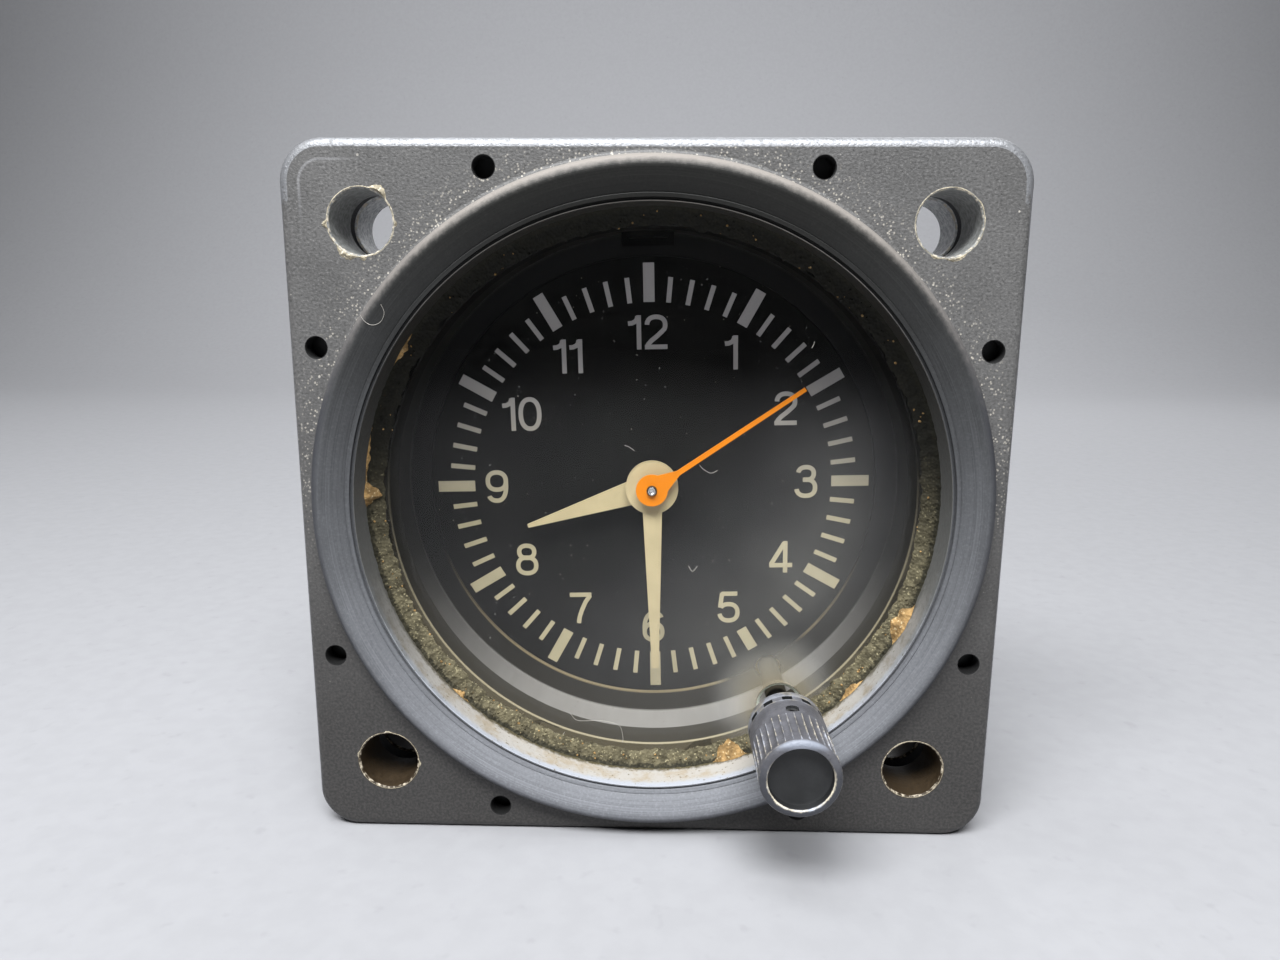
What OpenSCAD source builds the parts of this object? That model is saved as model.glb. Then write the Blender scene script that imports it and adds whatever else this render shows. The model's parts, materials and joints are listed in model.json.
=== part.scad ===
// Panel clock for an aircraft, 2 1/4 inch class, with a quartz stepping movement.
// Front view is along +Y: X to the right, Z up, Y towards the back. Millimetres.
// The origin is the centre of the flange's front face, which lies against the panel.
// Clock angles run clockwise from 12 as seen from the front.

/* [Flange] */
// Side of the square flange
flange_w = 60.3; // [57:0.1:66]
// Thickness of the bezel's flange
flange_t = 5.4; // [5:0.1:6.5]
// Corner radius of the flange
corner_r = 3.6; // [2.5:0.1:4.5]
// Chamfer along the flange's front edge
edge_cut = 0.7; // [0.3:0.1:1]
// Distance of a panel screw from the flange's edges
mount_inset = 6.58; // [6.2:0.01:6.8]
// Radius of a panel screw hole
mount_hole_r = 2.6; // [2.1:0.05:2.8]
// Distance of a bezel screw from the nearest edge
screw_inset = 2.35; // [2.1:0.05:2.6]
// Angle at the centre between a bezel screw and the middle of its edge
screw_spread = 25.9; // [23:0.1:28]
// Radius of the open end of a tapped hole
tap_r = 0.9; // [0.7:0.05:1]
// Radius of a bezel screw's shank
bezel_screw_r = 1.05; // [1:0.05:1.2]
// Depth of a bezel screw in the bezel
bezel_screw_depth = 3.6; // [3:0.1:4.2]

/* [Ring] */
// Margin of the flange outside the spigot, mask, dial and front plate
stack_margin = 4.65; // [4.3:0.05:5.2]
// Width of the raised ring
ring_w = 3.7; // [3.4:0.05:4]
// Height of the ring in front of the flange
ring_h = 1.55; // [1.2:0.05:2]
// Rounding of the ring's outer edge
ring_round = 0.8; // [0.4:0.05:0.9]
// Drop of the ring's face towards its bore
ring_dish = 0.6; // [0.3:0.05:0.8]
// Width of the turned groove beside the bore
groove_w = 0.3; // [0.2:0.05:0.5]
// Depth of the turned groove
groove_d = 0.3; // [0.2:0.05:0.6]
// Land between groove and bore
groove_land = 0.2; // [0.15:0.05:0.4]

/* [Glass and well] */
// Wall of the bezel's spigot and of the mask
spigot_wall = 1.8; // [1.5:0.05:2.2]
// Length of the bezel's spigot behind the flange
spigot_l = 2.1; // [1.8:0.1:2.6]
// Width of the lip behind the glass
lip_w = 1.4; // [1.1:0.05:1.6]
// Depth of the glass's front face
glass_y = 2.9; // [2.4:0.1:3.3]
// Thickness of the glass
glass_t = 1.5; // [1.2:0.1:1.7]
// Play round the glass
glass_play = 0.1; // [0.05:0.05:0.2]
// Width of the seal bead
seal_w = 1.2; // [0.9:0.05:1.4]
// Height of the seal bead on the bore
seal_h = 0.7; // [0.4:0.05:1]
// Play round the stem in the glass
glass_hole_play = 0.8; // [0.5:0.05:0.9]
// Ground bevel of that hole
glass_bevel = 0.4; // [0.2:0.05:0.5]
// Length of the mask ring
mask_l = 4.1; // [3.6:0.1:5]
// Width of the mask's flat margin
margin_w = 2.1; // [1.6:0.05:2.4]
// Thickness of the mask's flat margin
margin_t = 0.4; // [0.3:0.05:0.8]
// Width of the keyway at 12
key_w = 4.9; // [4:0.1:6]
// Play on each side of the key
key_play = 0.65; // [0.3:0.05:0.8]
// Height of the dial's key
key_h = 2.2; // [1.5:0.1:3]

/* [Dial] */
// Thickness of the dial
dial_t = 0.6; // [0.5:0.05:1]
// Turn of the dial in its seat
dial_turn = -1.4; // [-3:0.1:3]
// Thickness of the printed markings
print_t = 0.06; // [0.04:0.01:0.12]
// Gap between an hour bar and the edge of the dial's opening
bar_gap = 0.6; // [0.3:0.05:1]
// Length of an hour bar
bar_l = 3.6; // [3:0.05:4]
// Length of a minute tick, and of the hour bar beside the stem
tick_l = 2.35; // [2:0.05:2.6]
// Width of an hour bar
bar_w = 1.05; // [0.6:0.05:1.4]
// Width of a minute tick
tick_w = 0.45; // [0.3:0.05:0.6]
// Distance from the bars' inner ends to the middle of the numerals
numeral_gap = 2.7; // [2.3:0.05:3.2]
// Height of a numeral
numeral_h = 3.2; // [2.6:0.1:3.6]
// Stroke of a numeral
stroke = 0.38; // [0.3:0.02:0.46]

/* [Hands] */
// Rest angle of the hour hand
hour_angle = 251.4; // [0:0.1:359]
// Rest angle of the minute hand
minute_angle = 178.5; // [0:0.1:359]
// Rest angle of the second hand
second_angle = 55.6; // [0:0.1:359]
// Distance from the hour hand's tip to the middle of the numerals
hour_gap = 2; // [1.5:0.05:3]
// Lap of the minute hand over the minute ticks
minute_lap = 0.7; // [0:0.05:1.5]
// Distance from the second hand's tip to the minute ticks
second_gap = 0.4; // [0:0.05:1]
// Hub radius of the hour and minute hands
hub_r = 2.5; // [2:0.05:3]
// Hub radius of the second hand
second_hub_r = 1.5; // [1.2:0.05:2]
// Thickness of a hand
hand_t = 0.3; // [0.2:0.05:0.4]
// Step from one hand to the next
hand_step = 1; // [0.8:0.05:1.2]
// Gap between dial and hour hand
hand_gap = 1.3; // [1:0.1:1.8]
// Width of the hour hand at its root
hour_root_w = 2.7; // [2:0.05:3.4]
// Width of the hour hand at its tip
hour_tip_w = 0.34; // [0.2:0.02:1]
// Width of the minute hand at its root
minute_root_w = 2; // [1.4:0.05:2.6]
// Width of the minute hand at its tip
minute_tip_w = 0.68; // [0.3:0.02:1.2]
// Width of the second hand at its root
second_root_w = 0.5; // [0.4:0.02:0.8]
// Width of the second hand at its tip
second_tip_w = 0.36; // [0.2:0.02:0.5]
// Width of the second hand's shoulder
shoulder_w = 2.6; // [2:0.05:2.9]

/* [Knob and stem] */
// Distance of the stem inside the dial's edge
stem_inset = 3.13; // [2.9:0.01:3.6]
// Clock angle of the stem
stem_angle = 147.8; // [140:0.1:155]
// Radius of the stem
stem_r = 1; // [0.9:0.05:1.1]
// Travel when the knob is pulled out
pull = 2; // [1.6:0.05:2.4]
// Radius of the knob
knob_r = 3.29; // [3:0.01:3.6]
// Length of the knob
knob_l = 9.1; // [8.2:0.1:11]
// Gap between the knob and the ring's front
knob_gap = 0.25; // [0.2:0.05:1]
// Rim round the recess in the knob's front
knob_rim = 0.67; // [0.5:0.01:1]
// Depth of that recess
recess_d = 0.9; // [0.4:0.1:1.2]
// Number of flutes
flutes = 24; // [16:1:30]
// Radius of a flute
flute_r = 0.27; // [0.2:0.01:0.32]
// Length of the plain band behind the flutes
band_l = 3.4; // [2.6:0.1:4]
// Length of the plain rim in front of the flutes
rim_l = 1.1; // [0.8:0.1:1.6]
// Radius of the set screw
set_screw_r = 0.5; // [0.4:0.05:0.6]

/* [Case] */
// Thickness of the bezel gasket
gasket_t = 1.5; // [1:0.1:2]
// Gap between the bezel gasket and the bezel screws
gasket_gap = 0.25; // [0.15:0.05:0.6]
// Thickness of the case's flange
case_flange_t = 4.4; // [3.5:0.1:4.8]
// Play round the dial stack in the case
pocket_play = 0.2; // [0.1:0.05:0.3]
// Wall of the case round the dial stack
case_wall = 1.9; // [1.6:0.05:2.2]
// Width of the ledge that the front plate rests on
ledge_w = 0.5; // [0.4:0.05:0.7]
// Width of the collar at the case's rear
collar_w = 4; // [3.6:0.05:4.4]
// Length of that collar
collar_l = 6; // [5.2:0.1:7]
// Room between circuit board and rear end
board_room = 8.8; // [7.8:0.1:12]
// Thickness of the cover gasket
cover_gasket_t = 0.5; // [0.3:0.05:1]
// Thickness of the rear cover
cover_t = 2; // [1.6:0.1:3]
// Radius of a cover screw's shank
cover_screw_r = 1; // [0.8:0.05:1.1]
// Depth of a cover screw in the case
cover_screw_depth = 4; // [3:0.1:4.5]

/* [Connector] */
// Outer radius of the connector's shell
shell_r = 7; // [6.3:0.05:7.8]
// Wall of the shell
shell_wall = 1; // [0.7:0.05:1.3]
// Length of the shell behind its flange
shell_l = 9; // [7:0.1:12]
// Width of the shell's flange
shell_flange_w = 3.5; // [3.1:0.05:4.5]
// Thickness of the shell's flange
shell_flange_t = 1.6; // [1.2:0.1:2.4]
// Radius of a contact pin
pin_r = 0.5; // [0.4:0.05:0.6]
// Radius of the circle of contacts
pin_circle = 3; // [2.6:0.1:3.6]
// Depth of a contact's open end
socket_d = 6; // [4:0.1:7]

/* [Movement] */
// Thickness of a movement plate
plate_t = 1.2; // [1:0.05:1.4]
// Play round the middle and back plates
plate_play = 0.8; // [0.6:0.05:1.2]
// Gap between the clutch spring and the middle plate
clutch_gap = 0.85; // [0.6:0.05:1.5]
// Gap between the coil and the back plate
coil_gap = 0.5; // [0.3:0.05:1.5]
// Radius of a pillar
pillar_r = 1.8; // [1.5:0.05:2]
// Distance from a pillar to the plates' edge
pillar_edge = 0.1; // [0:0.05:0.4]
// Gap between back plate and circuit board
board_gap = 2.4; // [1.8:0.1:3.5]
// Thickness of the circuit board
board_t = 1.2; // [0.8:0.1:1.6]
// Play round the circuit board
board_play = 1.2; // [0.8:0.05:1.6]
// Distance of the board's screws from its edge
spacer_inset = 4.9; // [4.4:0.1:5.5]
// Gap of a running fit, on the radius
run_gap = 0.05; // [0.03:0.01:0.08]
// Gap of a fixed fit, on the radius
fit_gap = 0.02; // [0.01:0.005:0.04]
// Gap round a piece that passes freely
free_gap = 0.3; // [0.2:0.05:0.4]

/* [Wheels] */
// Distance from centre to stem, in modules of the setting work
stem_span = 65.8; // [62:0.1:69]
// Radius of the plates, in modules of the going train
train_span = 80.67; // [78:0.01:90]
// Distance from centre to rotor, in modules of the going train
rotor_span = 35; // [32:0.1:38]
// Turn of the intermediate wheel from the stem
intermediate_offset = 90.2; // [86:0.1:95]
// Thickness of a wheel
wheel_t = 0.8; // [0.6:0.05:0.9]
// Radius of the seconds arbor
seconds_r = 0.4; // [0.35:0.01:0.45]
// Outer radius of the minute pipe
minute_pipe_r = 0.9; // [0.8:0.01:1]
// Outer radius of the hour pipe
hour_pipe_r = 1.45; // [1.3:0.01:1.65]
// Radius of the cannon pinion's rear journal
journal_r = 1.25; // [1.1:0.01:1.4]
// Radius of a train arbor
arbor_r = 0.45; // [0.4:0.01:0.5]
// Radius of a pivot
pivot_r = 0.3; // [0.25:0.01:0.35]
// Radius of the posts of the motion work
post_r = 0.6; // [0.5:0.05:0.65]

/* [Motor] */
// Radius of the rotor magnet
magnet_r = 2; // [1.8:0.05:2.2]
// Length of the rotor magnet
magnet_l = 2; // [1.6:0.1:2.2]
// Air gap between magnet and stator
air_gap = 0.6; // [0.4:0.05:0.7]
// Thickness of the stator
stator_t = 0.8; // [0.6:0.05:1]
// Half length of the stator
stator_half_l = 9; // [8.4:0.05:9.6]
// Width of the stator outside the rotor's hole
stator_wall = 0.9; // [0.7:0.05:1]
// Distance from rotor to coil
coil_offset = 8; // [7.4:0.05:8.6]
// Thickness of the coil core
core_t = 1; // [0.8:0.05:1.1]
// Width of the coil core
core_w = 2.8; // [2.4:0.05:2.9]
// Half length of the bobbin
bobbin_half_l = 5.8; // [5:0.05:5.9]
// Radius of the bobbin's barrel
barrel_r = 1.9; // [1.8:0.05:2]
// Depth of the winding on the barrel
winding_d = 0.55; // [0.3:0.05:0.6]
// Height of the bobbin's cheeks over the barrel
cheek_h = 0.7; // [0.6:0.05:0.9]

/* [Hidden] */
$fn = 64;
// How far a cut runs past a face, or a lap into the same piece
over = 1;

// Radii, from the flange's edge inwards
flange_half = flange_w / 2;
stack_r = flange_half - stack_margin;
well_r = stack_r - spigot_wall;
bore_r = well_r + lip_w;
ring_r = bore_r + ring_w;
seal_r = bore_r - seal_w;
opening_r = well_r - margin_w;
mount_at = flange_half - mount_inset;
screw_across = flange_half - screw_inset;
screw_along = screw_across * tan(screw_spread);
case_r = stack_r + pocket_play + case_wall;
case_in_r = stack_r - ledge_w;
collar_in_r = case_r - collar_w;
plate_r = case_in_r - plate_play;
pillar_reach = plate_r - pillar_r - pillar_edge;
board_r = collar_in_r - board_play;
spacer_reach = board_r - spacer_inset;
shell_flange_r = shell_r + shell_flange_w;
glass_hole_r = stem_r + glass_hole_play;
stem_reach = stack_r - stem_inset;
recess_r = knob_r - knob_rim;

// Dial and hands, from the opening inwards
bar_out = opening_r - bar_gap;
bar_in = bar_out - bar_l;
tick_out = bar_in + tick_l;
numeral_r = bar_in - numeral_gap;
hour_reach = numeral_r - hour_gap;
minute_reach = bar_in + minute_lap;
second_reach = bar_in - second_gap;

// Tooth modules
motion_module = stem_reach / stem_span;
train_module = plate_r / train_span;
rotor_reach = rotor_span * train_module;

// Stack of depths, from the flange's front face to the connector
glass_back = glass_y + glass_t;
gasket_back = flange_t + gasket_t;
case_flange_back = gasket_back + case_flange_t;
spigot_end = flange_t + spigot_l;
dial_front = spigot_end + mask_l;
dial_back = dial_front + dial_t;
front_plate_back = dial_back + plate_t;

// Hands, each one step nearer the glass than the last
hour_back = dial_front - hand_gap;
minute_back = hour_back - hand_step;
second_back = minute_back - hand_step;
hand_pipe_end = 0.1;
arbor_end = 0.35;
arbor_tip = second_back - hand_t - arbor_end;

// Depths of the wheels: motion work behind the front plate, train behind the middle plate
wheel_gap = 0.4;
stem_spare = 0.2;
hour_wheel_y = front_plate_back + wheel_gap;
minute_wheel_y = front_plate_back + pull + stem_spare;
pinion_lap = 0.3;
pinion_end = 0.1;
cannon_collar_y = minute_wheel_y + wheel_t + pinion_lap;
cannon_collar_t = 0.6;
cannon_collar_w = 1;
face_gap = 0.05;
centre_wheel_y = cannon_collar_y + cannon_collar_t + face_gap;
post_head_t = 0.4;
post_head_w = 0.5;
post_head_r = post_r + post_head_w;
clutch_y = centre_wheel_y + wheel_t + face_gap;
clutch_t = 0.2;
clutch_w = 1.9;
clutch_lift = 0.35;
middle_front = clutch_y + clutch_lift + clutch_t + clutch_gap;
middle_back = middle_front + plate_t;
layer_gap = 1.2;
plate_gap = 0.9;
third_wheel_y = middle_back + plate_gap;
seconds_wheel_y = third_wheel_y + wheel_t + layer_gap;
intermediate_wheel_y = seconds_wheel_y + wheel_t + layer_gap;
train_lap = 0.4;
magnet_y = intermediate_wheel_y + wheel_t + plate_gap;
stator_y = magnet_y + (magnet_l - stator_t) / 2;
core_y = stator_y + stator_t;
coil_y = core_y + core_t / 2;
cheek_t = 0.6;
cheek_r = barrel_r + cheek_h;
winding_r = barrel_r + winding_d;
back_front = coil_y + cheek_r + coil_gap;
back_back = back_front + plate_t;

// Electronics and rear end
board_front = back_back + board_gap;
board_back = board_front + board_t;
case_end = board_back + board_room;
cover_front = case_end + cover_gasket_t;
cover_back = cover_front + cover_t;
shell_end = cover_back + shell_flange_t + shell_l;

// Tooth counts: setting and motion work, then the train from rotor to centre wheel
z_setting = 11;
z_minute = 30;
z_cannon = 10;
z_minute_pinion = 8;
z_hour = 32;
// The idler bridges the way from minute wheel to setting pinion, with a spare that sets it to one side
idler_spare = 4.2;
z_idler = ceil(stem_span - z_cannon / 2 - z_minute - z_setting / 2 + idler_spare);
z_rotor = 6;
z_intermediate = 36;
z_intermediate_pinion = 8;
z_seconds = 40;
z_seconds_pinion = 8;
z_third = 60;
z_third_pinion = 8;
z_centre = 64;

// Tooth form: share of the half pitch, addendum and dedendum in modules, width at the tip
wheel_form = [0.8, 0.9, 1.3, 0.4];
pinion_form = [0.65, 0.7, 1.3, 0.45];
small_pinion_max = 11;

function polar(r, angle) = [r * sin(angle), r * cos(angle)];
function bearing(a, b) = atan2(b[1] - a[1], b[0] - a[0]);
function spread(z1, z2, m) = m * (z1 + z2) / 2;
function form(z) = z > small_pinion_max ? wheel_form : pinion_form;
function tip_r(z, m) = m * (z / 2 + form(z)[1]);
// Turn of a wheel of z2 teeth that meshes with one of z1 teeth turned by turn1
function mesh_turn(turn1, z1, z2, toward) =
    toward + 180 - 360 / z2 * (0.5 - (toward - turn1) * z1 / 360);
// Point at distance ra from a and rb from b, to the left of the line from a to b
function corner(a, b, ra, rb) =
    let (d = norm(b - a), along = (d * d + ra * ra - rb * rb) / (2 * d), off = sqrt(ra * ra - along * along))
    a + (b - a) / d * along + [-(b - a)[1], (b - a)[0]] / d * off;

// Places of the arbors in the front view
centre = [0, 0];
stem_at = polar(stem_reach, stem_angle);
minute_at = polar(spread(z_minute, z_cannon, motion_module), stem_angle);
idler_at = corner(minute_at, stem_at, spread(z_minute, z_idler, motion_module),
    spread(z_idler, z_setting, motion_module));
third_reach = spread(z_third, z_seconds_pinion, train_module);
third_at = polar(third_reach, stem_angle + 180);
centre_module = 2 * third_reach / (z_centre + z_third_pinion);
intermediate_at = polar(spread(z_seconds, z_intermediate_pinion, train_module),
    stem_angle + intermediate_offset);
rotor_at = corner(centre, intermediate_at, rotor_reach, spread(z_intermediate, z_rotor, train_module));
pillar_turns = [-80, 97, 180];
spacer_turns = [-40, 25, 150];
spacer_r = 1.6;

// Turns of the wheels, so that all teeth are in mesh at rest
setting_turn = 0;
idler_turn = mesh_turn(setting_turn, z_setting, z_idler, bearing(stem_at, idler_at));
minute_turn = mesh_turn(idler_turn, z_idler, z_minute, bearing(idler_at, minute_at));
cannon_turn = mesh_turn(minute_turn, z_minute, z_cannon, bearing(minute_at, centre));
hour_turn = mesh_turn(minute_turn, z_minute_pinion, z_hour, bearing(minute_at, centre));
seconds_turn = 0;
intermediate_turn = mesh_turn(seconds_turn, z_seconds, z_intermediate_pinion,
    bearing(centre, intermediate_at));
rotor_turn = mesh_turn(intermediate_turn, z_intermediate, z_rotor, bearing(intermediate_at, rotor_at));
third_turn = mesh_turn(seconds_turn, z_seconds_pinion, z_third, bearing(centre, third_at));
centre_turn = mesh_turn(third_turn, z_third_pinion, z_centre, bearing(third_at, centre));

// Screws of the movement and the board
small_screw_r = 0.7;
small_head_r = 1.4;
small_head_t = 0.9;
spigot_r = 1;
stud_l = 2.4;
screw_hold = 4;
stator_head_r = 1.2;

// Setting work
neck_r = 0.6;
yoke_t = 0.8;
yoke_play = 0.1;
yoke_spare = 0.4;
yoke_y = middle_back + pull + yoke_spare;
stem_tail = 3.8;
stem_end = yoke_y + stem_tail;
guide_r = 0.6;
guide_inset = 5.5;
guide_reach = stem_reach - guide_inset;
yoke_half_w = 1.6;
yoke_wall = 1.2;
yoke_in = guide_reach - guide_r - yoke_wall;
yoke_mouth = 1.4;
yoke_out = stem_reach + yoke_mouth;
leaf_t = 0.25;
leaf_half_w = 1.2;
leaf_gap = 0.1;
leaf_end = 1;
foot_l = 3;
bump_r = 0.35;
contact_gap = 0.3;
contact_end = 1;
contact_half_w = 1;

// Knob: its rear end lies in front of the ring, at the depth of the ring's highest point
knob_rear = -ring_h + ring_dish * (1 - (stem_reach + knob_r - bore_r) / (ring_r - ring_round - bore_r))
    - knob_gap;
knob_front = knob_rear - knob_l;
knob_bore_l = 7;
set_screw_y = knob_rear - band_l;

// A front view, pulled from depth y0 to y1
module slab(y0, y1) {
    translate([0, y1, 0]) rotate([90, 0, 0]) linear_extrude(y1 - y0) children();
}

// A profile of radius and depth, turned about the clock's axis or about the point at
module turned(at = centre) {
    translate([at[0], 0, at[1]]) rotate([-90, 0, 0]) rotate_extrude() children();
}

module rod(at, y0, y1, r) {
    translate([at[0], y0, at[1]]) rotate([-90, 0, 0]) cylinder(h = y1 - y0, r = r);
}

// Turns local X to the clock angle, with local Z across it
module toward(angle) {
    rotate([0, angle - 90, 0]) children();
}

module rounded_square(w, r) {
    square([w, w - 2 * r], center = true);
    square([w - 2 * r, w], center = true);
    for (x = [-1, 1]) for (y = [-1, 1]) translate([x, y] * (w / 2 - r)) circle(r);
}

module at_mounts() {
    for (x = [-1, 1]) for (z = [-1, 1]) translate([x, 0, z] * mount_at) children();
}

module at_bezel_screws() {
    for (x = [-1, 1]) for (z = [-1, 1]) {
        translate([x * screw_along, 0, z * screw_across]) children();
        translate([x * screw_across, 0, z * screw_along]) children();
    }
}

module at_turns(turns, reach) {
    for (t = turns) {
        p = polar(reach, stem_angle + t);
        translate([p[0], 0, p[1]]) children();
    }
}

// Toothed outline, one tooth centred on the angle turn from +X
module teeth(z, m, turn) {
    f = form(z);
    half = 90 / z * f[0];
    r = m * z / 2;
    rays = [[-half, r - f[2] * m], [-half, r], [-half * f[3], r + f[1] * m],
        [half * f[3], r + f[1] * m], [half, r], [half, r - f[2] * m]];
    polygon([for (i = [0:z - 1]) for (p = rays)
        p[1] * [cos(360 / z * i + p[0] + turn), sin(360 / z * i + p[0] + turn)]]);
}

module gear(at, y, t, z, m, turn) {
    translate([at[0], 0, at[1]]) slab(y, y + t) teeth(z, m, turn);
}

// Arbor between two plates, with a pivot in each
module arbor(at, y0, y1, r) {
    rod(at, y0 + face_gap, y1 - face_gap, r);
    rod(at, y0 - plate_t, y1 + plate_t, pivot_r);
}

module pan_screw(y_head, head_t, head_r, y_end, r) {
    rod(centre, y_head, y_head + head_t, head_r);
    rod(centre, y_end, y_head + head_t / 2, r);
}

module screw_slot(y_top, head_r) {
    depth = 0.35;
    width = 0.4;
    translate([-head_r - over, y_top - depth, -width / 2])
        cube([2 * (head_r + over), depth + over, width]);
}

// Bezel: flange, dished ring, spigot, bore and lip for the glass
module flange_chamfer() {
    half = flange_half;
    c = edge_cut;
    for (a = [0:90:270]) rotate([0, a, 0]) {
        translate([0, 0, half]) rotate([0, 90, 0]) linear_extrude(flange_w, center = true)
            polygon([[c, -1], [c, 0], [0, c], [-1, c], [-1, -1]]);
        translate([half - corner_r, 0, half - corner_r]) rotate([90, 0, 0]) rotate_extrude(angle = 90)
            polygon([[corner_r - c, 1], [corner_r - c, 0], [corner_r, -c], [corner_r + 2, -c],
                [corner_r + 2, 1]]);
    }
}

module ring_section() {
    front = -ring_h;
    root = edge_cut + 0.1;
    difference() {
        union() {
            polygon([[bore_r, root], [ring_r, root], [ring_r, front + ring_round],
                [ring_r - ring_round, front], [bore_r, front + ring_dish]]);
            translate([ring_r - ring_round, front + ring_round]) circle(ring_round);
        }
        translate([bore_r + groove_land, front - 1]) square([groove_w, 1 + ring_dish + groove_d]);
    }
}

module bezel() {
    color("dimgray") difference() {
        union() {
            difference() {
                slab(0, flange_t) rounded_square(flange_w, corner_r);
                flange_chamfer();
            }
            turned() ring_section();
            rod(centre, flange_t / 2, spigot_end, stack_r);
        }
        rod(centre, -ring_h - over, glass_back, bore_r);
        rod(centre, glass_y, spigot_end + over, well_r);
        at_mounts() rod(centre, -over, flange_t + over, mount_hole_r);
        at_bezel_screws() {
            rod(centre, -over, flange_t, tap_r);
            rod(centre, flange_t - bezel_screw_depth - free_gap, flange_t + over, bezel_screw_r + run_gap);
        }
    }
}

module glass() {
    color("lightcyan", 0.35) difference() {
        rod(centre, glass_y, glass_back, bore_r - glass_play);
        rod(stem_at, glass_y - over, glass_back + over, glass_hole_r);
        turned(stem_at) polygon([[0, glass_y - 0.1], [glass_hole_r + glass_bevel + 0.1, glass_y - 0.1],
            [glass_hole_r - 0.1, glass_y + glass_bevel + 0.1], [0, glass_y + glass_bevel + 0.1]]);
    }
}

module glass_seal() {
    color("darkolivegreen") difference() {
        turned() polygon([[seal_r, glass_y], [bore_r, glass_y - seal_h], [bore_r, glass_y]]);
        rod(stem_at, glass_y - seal_h - over, glass_y + over, glass_hole_r + glass_bevel);
    }
}

module bezel_gasket() {
    color("black") difference() {
        rod(centre, flange_t, gasket_back, norm([screw_along, screw_across]) - bezel_screw_r - gasket_gap);
        rod(centre, flange_t - over, gasket_back + over, stack_r + free_gap);
    }
}

module bezel_screws() {
    head_r = 1.6;
    head_t = 1.1;
    color("silver") at_bezel_screws() difference() {
        pan_screw(case_flange_back, head_t, head_r, flange_t - bezel_screw_depth, bezel_screw_r);
        screw_slot(case_flange_back + head_t, head_r);
    }
}

// Case: flange, pocket for the dial stack, ledge, can, rear collar with tapped holes
module case() {
    pocket_r = stack_r + pocket_play;
    color("dimgray") difference() {
        union() {
            slab(gasket_back, case_flange_back) rounded_square(flange_w, corner_r);
            rod(centre, gasket_back + over, case_end, case_r);
        }
        rod(centre, gasket_back - over, front_plate_back, pocket_r);
        rod(centre, front_plate_back - over, case_end - collar_l, case_in_r);
        rod(centre, front_plate_back, case_end + over, collar_in_r);
        at_mounts() rod(centre, gasket_back - over, case_flange_back + over, mount_hole_r);
        at_bezel_screws() rod(centre, gasket_back - over, case_flange_back + over,
            bezel_screw_r + free_gap / 2);
        at_cover_screws() rod(centre, case_end - cover_screw_depth - free_gap, case_end + over,
            cover_screw_r + run_gap);
    }
}

module at_cover_screws() {
    reach = (case_r + collar_in_r) / 2;
    for (a = [45:90:315]) {
        p = polar(reach, a);
        translate([p[0], 0, p[1]]) children();
    }
}

module cover_gasket() {
    color("black") difference() {
        rod(centre, case_end, cover_front, case_r);
        rod(centre, case_end - over, cover_front + over, collar_in_r);
        at_cover_screws() rod(centre, case_end - over, cover_front + over, cover_screw_r + free_gap / 2);
    }
}

module rear_cover() {
    color("dimgray") difference() {
        rod(centre, cover_front, cover_back, case_r);
        rod(centre, cover_front - over, cover_back + over, shell_r + fit_gap);
        at_cover_screws() rod(centre, cover_front - over, cover_back + over, cover_screw_r + free_gap / 2);
        at_connector_screws() rod(centre, cover_front - over, cover_back + over, connector_screw_r + run_gap);
    }
}

module cover_screws() {
    head_r = 1.7;
    head_t = 1.2;
    color("silver") at_cover_screws() difference() {
        pan_screw(cover_back, head_t, head_r, case_end - cover_screw_depth, cover_screw_r);
        screw_slot(cover_back + head_t, head_r);
    }
}

// Connector on the rear cover
connector_screw_r = 0.6;
insert_sink = 0.2;
pin_tail = 0.6;

module at_connector_screws() {
    reach = (shell_r + shell_flange_r) / 2;
    for (a = [0:90:270]) {
        p = polar(reach, a);
        translate([p[0], 0, p[1]]) children();
    }
}

module at_pins() {
    for (a = [0:120:240]) {
        p = polar(pin_circle, a);
        translate([p[0], 0, p[1]]) children();
    }
}

module connector_shell() {
    color("silver") difference() {
        union() {
            rod(centre, cover_front, shell_end, shell_r);
            rod(centre, cover_back, cover_back + shell_flange_t, shell_flange_r);
        }
        rod(centre, cover_front - over, shell_end + over, shell_r - shell_wall);
        at_connector_screws() rod(centre, cover_front, shell_end, connector_screw_r + free_gap / 2);
    }
}

module connector_insert() {
    color("black") difference() {
        rod(centre, cover_front, shell_end - insert_sink, shell_r - shell_wall - fit_gap);
        at_pins() rod(centre, cover_front - over, shell_end + over, pin_r + fit_gap);
    }
}

module connector_pins() {
    color("gold") at_pins() rod(centre, board_front - pin_tail, shell_end - socket_d, pin_r);
}

module connector_screws() {
    head_r = 1.1;
    head_t = 0.8;
    top = cover_back + shell_flange_t;
    color("silver") at_connector_screws() difference() {
        pan_screw(top, head_t, head_r, cover_front, connector_screw_r);
        screw_slot(top + head_t, head_r);
    }
}

// Mask: wall of the well and flat margin round the dial, with a keyway at 12
module mask_ring() {
    color("black") difference() {
        rod(centre, spigot_end, dial_front, stack_r);
        rod(centre, spigot_end - over, dial_front - margin_t, well_r);
        rod(centre, spigot_end, dial_front + over, opening_r);
        rod(stem_at, spigot_end, dial_front + over, stem_r + free_gap);
        keyway();
    }
}

key_room = 1.2;
key_wall = 0.6;
lug_inset = 0.5;

module keyway() {
    bottom = well_r - key_room;
    rotate([0, dial_turn, 0]) translate([-key_w / 2, dial_front - key_h - free_gap, bottom])
        cube([key_w, key_h + free_gap + over, stack_r - key_wall - bottom]);
}

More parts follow.
